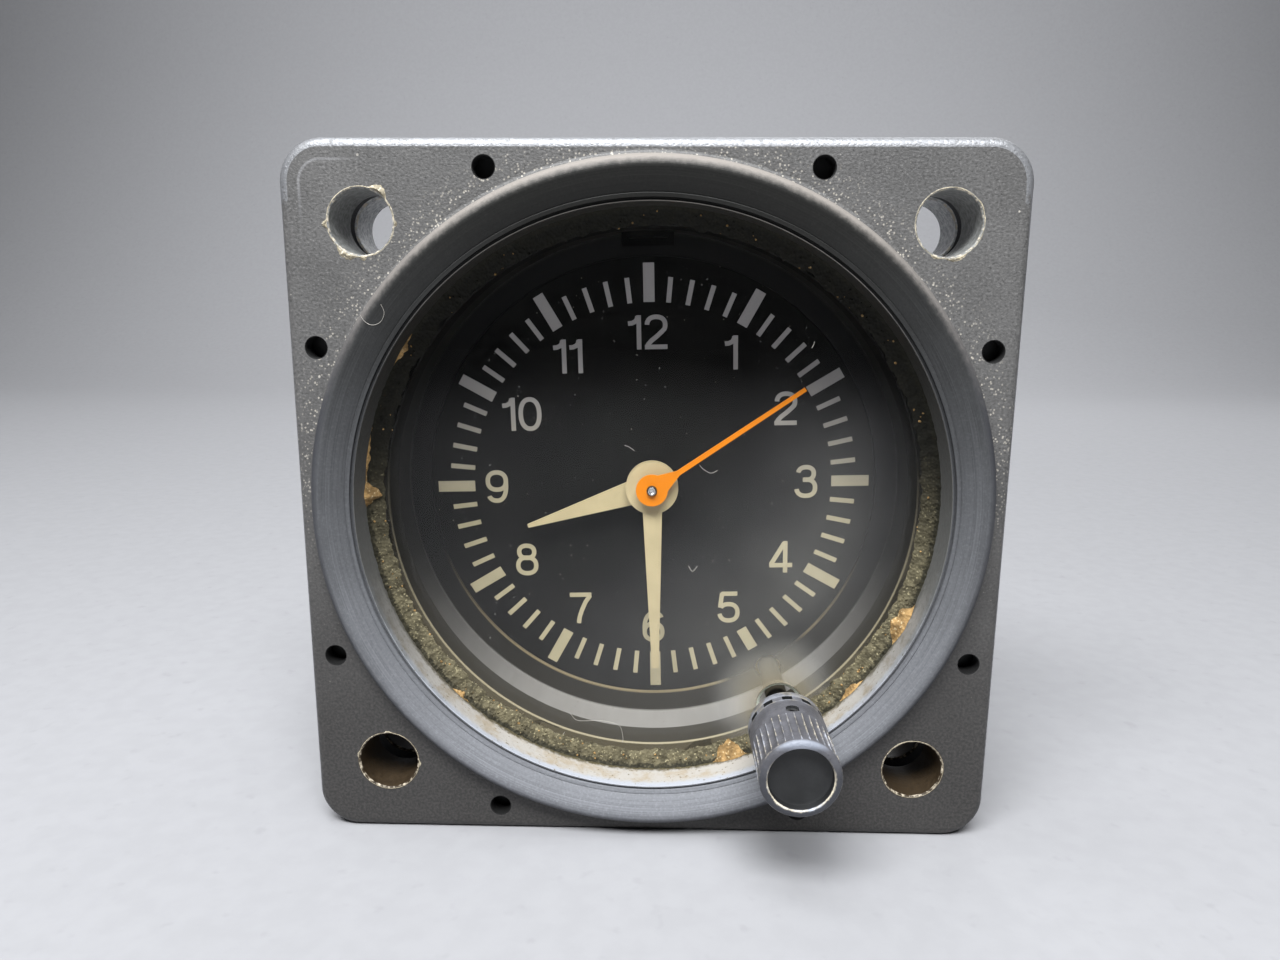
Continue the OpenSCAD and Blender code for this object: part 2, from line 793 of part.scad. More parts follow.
module dial() {
    lug_w = key_w - 2 * key_play;
    color([0.1, 0.1, 0.1]) difference() {
        union() {
            rod(centre, dial_front, dial_back, stack_r);
            rotate([0, dial_turn, 0]) translate([-lug_w / 2, dial_front - key_h, well_r - lug_inset])
                cube([lug_w, key_h + dial_t / 2, dial_t]);
        }
        rod(centre, dial_front - over, dial_back + over, hour_pipe_r + free_gap);
        rod(stem_at, dial_front - over, dial_back + over, stem_r + free_gap);
    }
}

// Numerals, drawn from bars and arcs in a cell of height numeral_h centred on the origin
module bar(a, b) {
    d = b - a;
    translate((a + b) / 2) rotate(atan2(d[1], d[0])) square([norm(d) + 0.01, stroke], center = true);
}

module arc(c, r, a0, a1) {
    n = ceil((a1 - a0) / 60);
    translate(c) intersection() {
        difference() {
            circle(r + stroke / 2);
            circle(r - stroke / 2);
        }
        polygon(concat([[0, 0]], [for (i = [0:n]) (r + stroke) * 1.2 * [cos(a0 + (a1 - a0) * i / n),
            sin(a0 + (a1 - a0) * i / n)]]));
    }
}

module ring2d(c, r) {
    translate(c) difference() {
        circle(r + stroke / 2);
        circle(r - stroke / 2);
    }
}

module six() {
    h = numeral_h / 2 - stroke / 2;
    low = 0.24 * numeral_h;
    r = 0.235 * numeral_h;
    ring2d([0, low - h], low);
    bar([-low, low - h], [-low, h - r]);
    arc([r - low, h - r], r, 90, 180);
    arc([r - low, h - r], r, 20, 90);
}

module digit(d) {
    h = numeral_h / 2 - stroke / 2;
    w = 0.24 * numeral_h;
    top = 0.2 * numeral_h;
    if (d == 0) {
        arc([0, h - w], w, 0, 180);
        arc([0, w - h], w, 180, 360);
        for (s = [-1, 1]) bar([s * w, h - w], [s * w, w - h]);
    }
    if (d == 1) {
        bar([0.1 * numeral_h, h + stroke / 2], [0.1 * numeral_h, -h - stroke / 2]);
        bar([-0.14 * numeral_h, 0.56 * h], [0.1 * numeral_h, 0.56 * h]);
    }
    if (d == 2) {
        arc([0, h - w], w, -38, 180);
        bar([w * cos(-38), h - w + w * sin(-38)], [-w, -h]);
        bar([-w - stroke / 3, -h], [w + stroke / 3, -h]);
    }
    if (d == 3) {
        arc([0, h - top], top, -90, 165);
        arc([0, w - h], w, -165, 90);
    }
    if (d == 4) {
        bar([0.1 * numeral_h, h], [-w - stroke / 3, -0.34 * h]);
        bar([-w - stroke / 2, -0.42 * h], [w + stroke / 2, -0.42 * h]);
        bar([0.11 * numeral_h, h + stroke / 2], [0.11 * numeral_h, -h - stroke / 2]);
    }
    if (d == 5) {
        bar([-0.8 * w, h], [w, h]);
        bar([-0.75 * w, h + stroke / 2], [-w, -0.02 * numeral_h]);
        arc([0, w - h], w, -160, 140);
    }
    if (d == 6) six();
    if (d == 7) {
        bar([-w - stroke / 3, h], [w + stroke / 3, h]);
        bar([w, h], [-0.25 * w, -h - stroke / 3]);
    }
    if (d == 8) {
        ring2d([0, h - top], top);
        ring2d([0, w - h], w);
    }
    if (d == 9) rotate(180) six();
}

module numeral(n) {
    pitch = 0.64 * numeral_h;
    if (n < 10) digit(n);
    else {
        translate([-pitch / 2, 0]) digit(1);
        translate([pitch / 2, 0]) digit(n - 10);
    }
}

module dial_markings() {
    color("beige") rotate([0, dial_turn, 0]) slab(dial_front - print_t, dial_front) {
        for (i = [0:59]) rotate(-6 * i) {
            hour = i % 5 == 0;
            outer = hour && i != 25 ? bar_out : tick_out;
            w = hour ? bar_w : tick_w;
            translate([-w / 2, bar_in]) square([w, outer - bar_in]);
        }
        for (n = [1:12]) translate(polar(numeral_r, 30 * n)) numeral(n);
    }
}

// Movement plates and what holds them apart
module front_plate() {
    color("gold") difference() {
        rod(centre, dial_back, front_plate_back, stack_r);
        plate_bore(centre, hour_pipe_r + run_gap);
        plate_bore(stem_at, stem_r + run_gap);
        plate_bore(minute_at, post_r + fit_gap);
        plate_bore(idler_at, post_r + fit_gap);
        plate_bore(third_at, pivot_r + run_gap);
        at_turns(pillar_turns, pillar_reach) plate_bore(centre, spigot_r + fit_gap);
    }
}

module plate_bore(at, r) {
    rod(at, dial_back - over, back_back + over, r);
}

module middle_plate() {
    color("gold") difference() {
        rod(centre, middle_front, middle_back, plate_r);
        plate_bore(centre, journal_r + run_gap);
        plate_bore(stem_at, stem_r + run_gap);
        plate_bore(polar(guide_reach, stem_angle), guide_r + fit_gap);
        plate_bore(third_at, tip_r(z_third_pinion, centre_module) + free_gap);
        plate_bore(intermediate_at, pivot_r + run_gap);
        plate_bore(rotor_at, pivot_r + run_gap);
        at_turns(pillar_turns, pillar_reach) plate_bore(centre, spigot_r + fit_gap);
        at_stator_posts() plate_bore(centre, small_screw_r + fit_gap);
    }
}

module back_plate() {
    color("gold") difference() {
        rod(centre, back_front, back_back, plate_r);
        plate_bore(centre, pivot_r + run_gap);
        plate_bore(polar(guide_reach, stem_angle), guide_r + fit_gap);
        plate_bore(third_at, pivot_r + run_gap);
        plate_bore(intermediate_at, pivot_r + run_gap);
        plate_bore(rotor_at, pivot_r + run_gap);
        at_turns(pillar_turns, pillar_reach) plate_bore(centre, small_screw_r + run_gap);
        at_turns(spacer_turns, spacer_reach) plate_bore(centre, small_screw_r + run_gap);
        at_leads() plate_bore(centre, lead_r + free_gap);
    }
}

module front_pillars() {
    color("silver") at_turns(pillar_turns, pillar_reach) {
        rod(centre, dial_back, front_plate_back + over, spigot_r);
        rod(centre, front_plate_back, middle_front, pillar_r);
        rod(centre, middle_front - over, middle_back + stud_l, spigot_r);
    }
}

module rear_pillars() {
    color("silver") at_turns(pillar_turns, pillar_reach) difference() {
        rod(centre, middle_back, back_front, pillar_r);
        rod(centre, middle_back - over, middle_back + stud_l + free_gap, spigot_r + fit_gap);
        rod(centre, back_front - screw_hold - free_gap, back_front + over, small_screw_r + run_gap);
    }
}

module plate_screws() {
    color("silver") at_turns(pillar_turns, pillar_reach) difference() {
        pan_screw(back_back, small_head_t, small_head_r, back_front - screw_hold, small_screw_r);
        screw_slot(back_back + small_head_t, small_head_r);
    }
}

module motion_posts() {
    top = minute_wheel_y + wheel_t + face_gap;
    color("silver") for (at = [minute_at, idler_at]) {
        rod(at, dial_back, top + post_head_t / 2, post_r);
        rod(at, top, top + post_head_t, post_head_r);
    }
}

// Hands: tapered blade on a round hub
module blade(reach, root_w, tip_w) {
    polygon([[-root_w / 2, 0], [root_w / 2, 0], [tip_w / 2, reach], [-tip_w / 2, reach]]);
}

module hand(angle, back, bore, hub) {
    color("beige") rotate([0, angle, 0]) slab(back - hand_t, back) difference() {
        union() {
            circle(hub);
            children();
        }
        circle(bore + fit_gap);
    }
}

module hour_hand() {
    hand(hour_angle, hour_back, hour_pipe_r, hub_r) blade(hour_reach, hour_root_w, hour_tip_w);
}

module minute_hand() {
    hand(minute_angle, minute_back, minute_pipe_r, hub_r) blade(minute_reach, minute_root_w, minute_tip_w);
}

module second_hand() {
    color("darkorange") hand(second_angle, second_back, seconds_r, second_hub_r) {
        blade(second_reach, second_root_w, second_tip_w);
        blade(2 * second_hub_r, shoulder_w, second_root_w - 2 * fit_gap);
    }
}

// Motion work
module hour_wheel() {
    color("gold") difference() {
        union() {
            gear(centre, hour_wheel_y, wheel_t, z_hour, motion_module, hour_turn);
            rod(centre, hour_back - hand_t - hand_pipe_end, hour_wheel_y + wheel_t / 2, hour_pipe_r);
        }
        rod(centre, hour_back - hand_t - over, hour_wheel_y + wheel_t + over, minute_pipe_r + run_gap);
    }
}

module cannon_pinion() {
    pinion_y = minute_wheel_y - pinion_lap;
    color("silver") difference() {
        union() {
            rod(centre, minute_back - hand_t - hand_pipe_end, pinion_y + wheel_t / 2, minute_pipe_r);
            gear(centre, pinion_y, wheel_t + 2 * pinion_lap, z_cannon, motion_module, cannon_turn);
            rod(centre, cannon_collar_y, cannon_collar_y + cannon_collar_t, journal_r + cannon_collar_w);
            rod(centre, cannon_collar_y + cannon_collar_t / 2, middle_back + free_gap, journal_r);
        }
        rod(centre, minute_back - hand_t - over, middle_back + over, seconds_r + run_gap);
    }
}

module clutch_spring() {
    inner = journal_r + fit_gap;
    outer = inner + clutch_w;
    top = clutch_y + clutch_lift;
    color("goldenrod") turned() polygon([[inner, top], [outer, clutch_y], [outer, clutch_y + clutch_t],
        [inner, top + clutch_t]]);
}

module minute_wheel() {
    pinion_y = hour_wheel_y - pinion_end;
    color("gold") difference() {
        union() {
            gear(minute_at, minute_wheel_y, wheel_t, z_minute, motion_module, minute_turn);
            gear(minute_at, pinion_y, minute_wheel_y - pinion_y, z_minute_pinion, motion_module, minute_turn);
        }
        rod(minute_at, pinion_y - over, minute_wheel_y + wheel_t + over, post_r + run_gap);
    }
}

module setting_idler() {
    idler_hub_r = 1.5;
    color("gold") difference() {
        union() {
            gear(idler_at, minute_wheel_y, wheel_t, z_idler, motion_module, idler_turn);
            rod(idler_at, front_plate_back + face_gap, minute_wheel_y + wheel_t / 2, idler_hub_r);
        }
        rod(idler_at, front_plate_back - over, minute_wheel_y + wheel_t + over, post_r + run_gap);
    }
}

module setting_pinion() {
    color("silver") difference() {
        gear(stem_at, minute_wheel_y, middle_front - minute_wheel_y - 2 * face_gap, z_setting, motion_module,
            setting_turn);
        rod(stem_at, minute_wheel_y - over, middle_front + over, stem_r + fit_gap);
    }
}

// Setting work: stem, knob, yoke and detent
module stem() {
    groove = yoke_t + 2 * yoke_play;
    color("silver") difference() {
        rod(stem_at, knob_rear - knob_bore_l + free_gap, stem_end, stem_r);
        translate([stem_at[0], 0, stem_at[1]]) difference() {
            rod(centre, yoke_y - yoke_play, yoke_y - yoke_play + groove, stem_r + over);
            rod(centre, yoke_y - over, yoke_y + groove + over, neck_r);
        }
    }
}

module knob() {
    edge = 0.35;
    color("slategray") difference() {
        turned(stem_at) polygon([[0, knob_rear], [knob_r - edge / 2, knob_rear],
            [knob_r, knob_rear - edge / 2], [knob_r, knob_front + edge], [knob_r - edge, knob_front],
            [0, knob_front]]);
        rod(stem_at, knob_front - over, knob_front + recess_d, recess_r);
        rod(stem_at, knob_rear - knob_bore_l, knob_rear + over, stem_r + fit_gap);
        translate([stem_at[0], 0, stem_at[1]]) {
            for (i = [0:flutes - 1]) {
                p = polar(knob_r + flute_r / 4, 360 / flutes * (i + 0.5));
                rod(p, knob_front + rim_l, knob_rear - band_l - set_screw_r - free_gap, flute_r);
            }
            translate([0, set_screw_y, 0]) cylinder(h = knob_r + over, r = set_screw_r + fit_gap);
        }
    }
}

module knob_set_screw() {
    sink = 0.25;
    socket_depth = 0.5;
    color("black") translate([stem_at[0], set_screw_y, stem_at[1]]) difference() {
        translate([0, 0, stem_r + fit_gap]) cylinder(h = knob_r - stem_r - sink, r = set_screw_r);
        translate([0, 0, knob_r - sink - socket_depth]) cylinder(h = 2, r = set_screw_r / 2, $fn = 6);
    }
}

module stem_yoke() {
    slot = 2 * (neck_r + run_gap);
    color("silver") toward(stem_angle) slab(yoke_y, yoke_y + yoke_t) difference() {
        translate([yoke_in, -yoke_half_w]) square([yoke_out - yoke_in, 2 * yoke_half_w]);
        translate([guide_reach, 0]) circle(guide_r + run_gap);
        translate([stem_reach, 0]) circle(slot / 2);
        translate([stem_reach, -slot / 2]) square([yoke_out, slot]);
    }
}

module yoke_guide_pin() {
    color("silver") rod(polar(guide_reach, stem_angle), middle_front, back_back, guide_r);
}

module detent_spring() {
    face = yoke_in - leaf_gap;
    color("goldenrod") toward(stem_angle) translate([0, 0, -leaf_half_w]) linear_extrude(2 * leaf_half_w) {
        translate([face - foot_l, middle_back]) square([foot_l, leaf_t]);
        translate([face - leaf_t, middle_back]) square([leaf_t, yoke_y + yoke_t + leaf_end - middle_back]);
        translate([face - leaf_t / 2, yoke_y - bump_r - leaf_gap]) circle(bump_r);
    }
}

module hack_contact() {
    face = stem_end + contact_gap;
    riser = guide_reach + guide_r + free_gap;
    color("goldenrod") toward(stem_angle) translate([0, 0, -contact_half_w])
        linear_extrude(2 * contact_half_w) {
        translate([riser, face]) square([stem_reach + contact_end - riser, leaf_t]);
        translate([riser, face]) square([leaf_t, back_front - face]);
        translate([riser, back_front - leaf_t]) square([stem_reach + contact_end - riser, leaf_t]);
    }
}

// Going train
module centre_wheel() {
    color("gold") difference() {
        gear(centre, centre_wheel_y, wheel_t, z_centre, centre_module, centre_turn);
        rod(centre, centre_wheel_y - over, centre_wheel_y + wheel_t + over, journal_r + run_gap);
    }
}

module third_wheel() {
    pinion_y = centre_wheel_y - train_lap;
    color("gold") {
        arbor(third_at, front_plate_back, back_front, arbor_r);
        gear(third_at, third_wheel_y, wheel_t, z_third, train_module, third_turn);
        gear(third_at, pinion_y, wheel_t + 2 * train_lap, z_third_pinion, centre_module, third_turn);
    }
}

module seconds_wheel() {
    color("gold") {
        rod(centre, arbor_tip, back_front - face_gap, seconds_r);
        rod(centre, back_front - over, back_back, pivot_r);
        gear(centre, seconds_wheel_y, wheel_t, z_seconds, train_module, seconds_turn);
        gear(centre, third_wheel_y - train_lap, wheel_t + 2 * train_lap, z_seconds_pinion, train_module,
            seconds_turn);
    }
}

module intermediate_wheel() {
    color("gold") {
        arbor(intermediate_at, middle_back, back_front, arbor_r);
        gear(intermediate_at, intermediate_wheel_y, wheel_t, z_intermediate, train_module, intermediate_turn);
        gear(intermediate_at, seconds_wheel_y - train_lap, wheel_t + 2 * train_lap, z_intermediate_pinion,
            train_module, intermediate_turn);
    }
}

module rotor_pinion() {
    color("silver") {
        arbor(rotor_at, middle_back, back_front, arbor_r);
        gear(rotor_at, intermediate_wheel_y - train_lap, wheel_t + 2 * train_lap, z_rotor, train_module,
            rotor_turn);
    }
}

module rotor_magnet() {
    color("gray") difference() {
        rod(rotor_at, magnet_y, magnet_y + magnet_l, magnet_r);
        rod(rotor_at, magnet_y - over, magnet_y + magnet_l + over, arbor_r + fit_gap);
    }
}

// Stepping motor: local X runs outwards from the clock's centre through the rotor
tab_l = 2.5;
tab_edge = 0.4;
tab_end = coil_offset + core_w / 2 + tab_edge;
stator_half_w = magnet_r + air_gap + stator_wall;
motor_angle = 90 - bearing(centre, rotor_at);
tab_mid = stator_half_l - tab_l / 2;
lead_r = 0.25;
lead_side = 3.6;

module at_stator_posts() {
    for (s = [-1, 1]) toward(motor_angle) translate([rotor_reach + coil_offset, 0, s * tab_mid]) children();
}

module at_leads() {
    for (s = [-1, 1]) toward(motor_angle) translate([rotor_reach + coil_offset, 0, s * lead_side]) children();
}

module stator() {
    color("silver") difference() {
        toward(motor_angle) slab(stator_y, stator_y + stator_t) difference() {
            translate([rotor_reach, 0]) {
                square([2 * stator_half_w, 2 * stator_half_l], center = true);
                for (s = [-1, 1]) translate([tab_end / 2, s * tab_mid])
                    square([tab_end, tab_l], center = true);
            }
            translate([rotor_reach, 0]) circle(magnet_r + air_gap);
        }
        at_stator_posts() rod(centre, stator_y - over, stator_y + stator_t + over, small_screw_r + run_gap);
    }
}

module stator_posts() {
    post_wall = 0.7;
    color("silver") at_stator_posts() difference() {
        union() {
            rod(centre, middle_back, stator_y, small_screw_r + post_wall);
            rod(centre, middle_front, middle_back + over, small_screw_r);
        }
        rod(centre, stator_y - screw_hold - free_gap, stator_y + over, small_screw_r + run_gap);
    }
}

module stator_screws() {
    top = core_y + core_t;
    color("silver") at_stator_posts() difference() {
        pan_screw(top, small_head_t, stator_head_r, stator_y - screw_hold, small_screw_r);
        screw_slot(top + small_head_t, stator_head_r);
    }
}

module coil_core() {
    color("silver") difference() {
        toward(motor_angle) slab(core_y, core_y + core_t) translate([rotor_reach + coil_offset, 0])
            square([core_w, 2 * stator_half_l], center = true);
        at_stator_posts() rod(centre, core_y - over, core_y + core_t + over, small_screw_r + run_gap);
    }
}

module along_coil() {
    toward(motor_angle) translate([rotor_reach + coil_offset, coil_y, 0]) children();
}

module coil_bobbin() {
    core_room = 2 * fit_gap;
    color("white") along_coil() difference() {
        union() {
            cylinder(h = 2 * bobbin_half_l, r = barrel_r, center = true);
            for (s = [-1, 1]) translate([0, 0, s * (bobbin_half_l - cheek_t / 2)])
                cylinder(h = cheek_t, r = cheek_r, center = true);
        }
        cube([core_w + core_room, core_t + core_room, 2 * bobbin_half_l + 2], center = true);
    }
}

module coil_winding() {
    color("chocolate") along_coil() difference() {
        cylinder(h = 2 * (bobbin_half_l - cheek_t - fit_gap), r = winding_r, center = true);
        cylinder(h = 2 * bobbin_half_l, r = barrel_r + fit_gap, center = true);
    }
}

module coil_leads() {
    color("chocolate") at_leads() rod(centre, coil_y + winding_r + face_gap, board_front, lead_r);
}

// Electronics
module at_spacers() {
    at_turns(spacer_turns, spacer_reach) children();
}

module circuit_board() {
    color("darkgreen") difference() {
        rod(centre, board_front, board_back, board_r);
        at_spacers() rod(centre, board_front - over, board_back + over, small_screw_r + run_gap);
        at_pins() rod(centre, board_front - over, board_back + over, pin_r + run_gap);
        at_turns(pillar_turns, pillar_reach)
            rod(centre, board_front - over, board_back + over, small_head_r + free_gap);
    }
}

module board_spacers() {
    color("silver") at_spacers() difference() {
        rod(centre, back_back, board_front, spacer_r);
        rod(centre, back_back - over, board_front + over, small_screw_r + run_gap);
    }
}

module board_screws() {
    color("silver") at_spacers() difference() {
        pan_screw(board_back, small_head_t, small_head_r, back_front, small_screw_r);
        screw_slot(board_back + small_head_t, small_head_r);
    }
}

crystal_at = [-9, 6];
crystal_r = 1.5;
crystal_l = 8;
chip_at = [-14, -6];
chip_size = [8, 1.6, 6];
trimmer_at = [10, 8];
trimmer_r = 2.5;
trimmer_h = 2.2;
capacitor_at = [9, -3];
capacitor_r = 3.2;
capacitor_h = 6.5;

module crystal() {
    color("silver") translate([crystal_at[0], board_back + crystal_r, crystal_at[1]]) rotate([0, 90, 0])
        cylinder(h = crystal_l, r = crystal_r);
}

module timing_chip() {
    color("black") translate([chip_at[0], board_back, chip_at[1]]) cube(chip_size);
}

module trimmer() {
    color("ivory") difference() {
        rod(trimmer_at, board_back, board_back + trimmer_h, trimmer_r);
        translate([trimmer_at[0], 0, trimmer_at[1]]) screw_slot(board_back + trimmer_h, trimmer_r / 2);
    }
}

module filter_capacitor() {
    color("midnightblue") rod(capacitor_at, board_back, board_back + capacitor_h, capacitor_r);
}

bezel();
glass();
glass_seal();
bezel_gasket();
bezel_screws();
case();
cover_gasket();
rear_cover();
cover_screws();
connector_shell();
connector_insert();
connector_pins();
connector_screws();
mask_ring();
dial();
dial_markings();
front_plate();
middle_plate();
back_plate();
front_pillars();
rear_pillars();
plate_screws();
motion_posts();
hour_hand();
minute_hand();
second_hand();
hour_wheel();
cannon_pinion();
clutch_spring();
minute_wheel();
setting_idler();
setting_pinion();
stem();
knob();
knob_set_screw();
stem_yoke();
yoke_guide_pin();
detent_spring();
hack_contact();
centre_wheel();
third_wheel();
seconds_wheel();
intermediate_wheel();
rotor_pinion();
rotor_magnet();
stator();
stator_posts();
stator_screws();
coil_core();
coil_bobbin();
coil_winding();
coil_leads();
circuit_board();
board_spacers();
board_screws();
crystal();
timing_chip();
trimmer();
filter_capacitor();
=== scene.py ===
"""Looks of a square-flanged aircraft panel clock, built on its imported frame. Metres; front view along +Y, Z up."""
import json
import random
from math import copysign, cos, degrees, hypot, radians, sin, sqrt, tan

import bmesh
import bpy
from mathutils import Matrix, Vector, noise


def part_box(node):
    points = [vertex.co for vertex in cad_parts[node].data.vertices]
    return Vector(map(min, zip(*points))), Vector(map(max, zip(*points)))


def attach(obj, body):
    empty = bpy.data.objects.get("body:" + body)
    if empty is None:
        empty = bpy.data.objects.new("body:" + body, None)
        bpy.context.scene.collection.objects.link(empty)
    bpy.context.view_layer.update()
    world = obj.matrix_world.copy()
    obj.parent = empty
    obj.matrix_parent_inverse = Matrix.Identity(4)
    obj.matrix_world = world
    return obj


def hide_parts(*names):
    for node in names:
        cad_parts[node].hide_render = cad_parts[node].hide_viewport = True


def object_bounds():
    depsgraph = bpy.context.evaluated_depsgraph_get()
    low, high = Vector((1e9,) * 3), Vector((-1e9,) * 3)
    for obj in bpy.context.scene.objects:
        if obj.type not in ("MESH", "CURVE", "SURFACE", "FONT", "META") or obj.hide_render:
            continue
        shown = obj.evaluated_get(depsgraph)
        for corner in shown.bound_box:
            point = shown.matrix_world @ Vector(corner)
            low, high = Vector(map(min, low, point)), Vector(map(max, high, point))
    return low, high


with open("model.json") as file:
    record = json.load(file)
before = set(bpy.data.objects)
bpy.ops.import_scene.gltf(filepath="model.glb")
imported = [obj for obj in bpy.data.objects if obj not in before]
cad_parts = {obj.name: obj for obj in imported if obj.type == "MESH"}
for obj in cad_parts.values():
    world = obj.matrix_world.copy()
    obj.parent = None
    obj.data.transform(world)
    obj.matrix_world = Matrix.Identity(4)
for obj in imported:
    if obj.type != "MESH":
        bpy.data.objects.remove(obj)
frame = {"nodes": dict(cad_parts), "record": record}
cad_low, cad_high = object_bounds()
scene = bpy.context.scene
mounts = {m["name"]: m["dims"] for m in frame["record"]["mounts"]}
MM = 0.001
ROUND = 256
CORNERS = [(sx, sz) for sx in (-1, 1) for sz in (-1, 1)]
rng = random.Random(7)

# Sizes of the frame
bezel_low, bezel_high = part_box("bezel")
glass_low, glass_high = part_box("glass")
seal_low, seal_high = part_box("glass_seal")
gasket_low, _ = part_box("bezel_gasket")
_, mask_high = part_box("mask_ring")
case_low, case_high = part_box("case")
cover_low, cover_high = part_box("rear_cover")
knob_low, knob_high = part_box("knob")
stem_low, stem_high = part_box("stem")
hub_low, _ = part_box("second_hand")
arbor_low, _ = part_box("seconds_wheel")
_, screws_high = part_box("bezel_screws")
set_low, set_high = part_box("knob_set_screw")
print_low, print_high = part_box("dial_markings")
flange_half = bezel_high.x
flange_back = gasket_low.y
ring_front = bezel_low.y
spigot_end = bezel_high.y
bore_r = seal_high.x
stack_r = mask_high.x
can_r = cover_high.x
ring_r = mounts["panel_pilot"]["r_mm"] * MM
mount_at = mounts["panel_bolts"]["spacing_x_mm"] / 2 * MM
mount_r = mounts["panel_bolts"]["hole_r_mm"] * MM
connector_r = mounts["connector"]["r_mm"] * MM
knob_r = (knob_high.x - knob_low.x) / 2
stem_x = (knob_low.x + knob_high.x) / 2
stem_z = (knob_low.z + knob_high.z) / 2
stem_r = (stem_high.x - stem_low.x) / 2

# Sizes that only the looks need. support is from a rounded edge to the loop that keeps the face beside it flat,
# fit is a slight clearance
support = 0.06 * MM
fit = 0.02 * MM
corner_r = 3.6 * MM
edge_round = 0.8 * MM
back_round = 0.3 * MM
rim_round = 0.16 * MM
foot_fillet = 0.35 * MM
ring_round = 1.1 * MM
ring_dish = 0.6 * MM
groove_at = (bore_r + 0.12 * MM, bore_r + 0.36 * MM)
groove_depth = 0.3 * MM
groove_draft = 0.04 * MM
line_at = bore_r + 0.72 * MM
line_depth = 0.07 * MM
line_half = 0.08 * MM
lip_w = 1.4 * MM
margin_w = 2.1 * MM
well_r = bore_r - lip_w
dial_open = well_r - margin_w
tap_r = 0.9 * MM
tap_depth = 1.5 * MM
tap_wide = 1.1 * MM
tap_round = 0.05 * MM
screw_head_r = 1.6 * MM
screw_head_t = 1.1 * MM
screw_angle = radians(25.9)
screw_across = screws_high.x - screw_head_r
screw_along = screw_across * tan(screw_angle)

# Wear values: a painted edge, a back edge, the rim of a panel-screw hole
painted_wear, back_wear, mount_wear = 0.1, 0.2, 0.55


def polar(r, degrees, y=0.0, x0=0.0, z0=0.0):
    """Point at a radius, clockwise from the top as seen from the front."""
    a = radians(degrees)
    return Vector((x0 + r * sin(a), y, z0 + r * cos(a)))


def rough(p, size, seed=0.0):
    return noise.noise(Vector(p) / size + Vector((seed, seed * 1.7, -seed)))


def put(name, data):
    """A new object in the scene."""
    obj = bpy.data.objects.new(name, data)
    scene.collection.objects.link(obj)
    return obj


# Mesh building
class Shape:
    """A mesh in the making: vertices with a wear value, faces with a material number."""

    def __init__(self, name):
        self.name = name
        self.bm = bmesh.new()
        self.wear = self.bm.verts.layers.float.new("wear")

    def loop(self, points, wear=0.0):
        made = [self.bm.verts.new(p) for p in points]
        for v in made:
            v[self.wear] = wear
        return made

    def circle(self, r, y, x0=0.0, z0=0.0, n=ROUND, wear=0.0):
        return self.loop([polar(r, 360 * i / n, y, x0, z0) for i in range(n)], wear)

    def strip(self, a, b, slot=0, closed=True):
        n = len(a)
        for i in range(n if closed else n - 1):
            j = (i + 1) % n
            self.bm.faces.new((a[i], a[j], b[j], b[i])).material_index = slot

    def strips(self, loops, slot=0):
        for a, b in zip(loops, loops[1:]):
            self.strip(a, b, slot)

    def cap(self, loop, slot=0):
        centre = self.bm.verts.new(sum((v.co for v in loop), Vector()) / len(loop))
        for i, v in enumerate(loop):
            self.bm.faces.new((v, loop[(i + 1) % len(loop)], centre)).material_index = slot

    def fill(self, loops, slot=0):
        """Flat face between loops."""
        edges = []
        for vs in loops:
            for i, v in enumerate(vs):
                w = vs[(i + 1) % len(vs)]
                edges.append(self.bm.edges.get((v, w)) or self.bm.edges.new((v, w)))
        made = bmesh.ops.triangle_fill(self.bm, use_beauty=True, use_dissolve=False, edges=edges)
        for f in made["geom"]:
            if isinstance(f, bmesh.types.BMFace):
                f.material_index = slot

    def make(self, materials, sharp=None):
        """The shape as an object; edges that bend by more than sharp degrees stay sharp."""
        mesh = bpy.data.meshes.new(self.name)
        self.bm.to_mesh(mesh)
        self.bm.free()
        mesh.shade_smooth()
        if sharp:
            mesh.set_sharp_from_angle(angle=radians(sharp))
        for m in materials:
            mesh.materials.append(m)
        return put(self.name, mesh)

    def done(self, materials, replaced=(), sharp=38, body="case_assembly"):
        """The shape as a piece on a body, in place of the replaced nodes."""
        bmesh.ops.recalc_face_normals(self.bm, faces=self.bm.faces)
        obj = self.make(materials, sharp)
        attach(obj, body)
        if replaced:
            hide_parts(*replaced)


def square_loop(inset, y, per_corner=14, per_side=10):
    """Points round a rounded square, clockwise from the front."""
    half, r = flange_half - inset, corner_r - inset
    corners = [[polar(r, 90 * k + 90 * i / per_corner, y, sx * (half - r), sz * (half - r))
                for i in range(per_corner + 1)]
               for k, (sx, sz) in enumerate(((1, 1), (1, -1), (-1, -1), (-1, 1)))]
    points = []
    for corner, after in zip(corners, corners[1:] + corners[:1]):
        points += corner + [corner[-1].lerp(after[0], i / per_side) for i in range(1, per_side)]
    return points


def quarter(r, steps):
    """Insets and depths of a quarter round, from the face to the side."""
    turns = [radians(90 * i / steps) for i in range(steps + 1)]
    return [(r - r * sin(t), r - r * cos(t)) for t in turns]


def arc(r, y, size, a0, a1, steps):
    """Points of radius and depth on an arc about (r, y), in degrees from the outward radius towards the back."""
    turns = [radians(a0 + (a1 - a0) * i / steps) for i in range(steps + 1)]
    return [(r + size * cos(t), y + size * sin(t)) for t in turns]


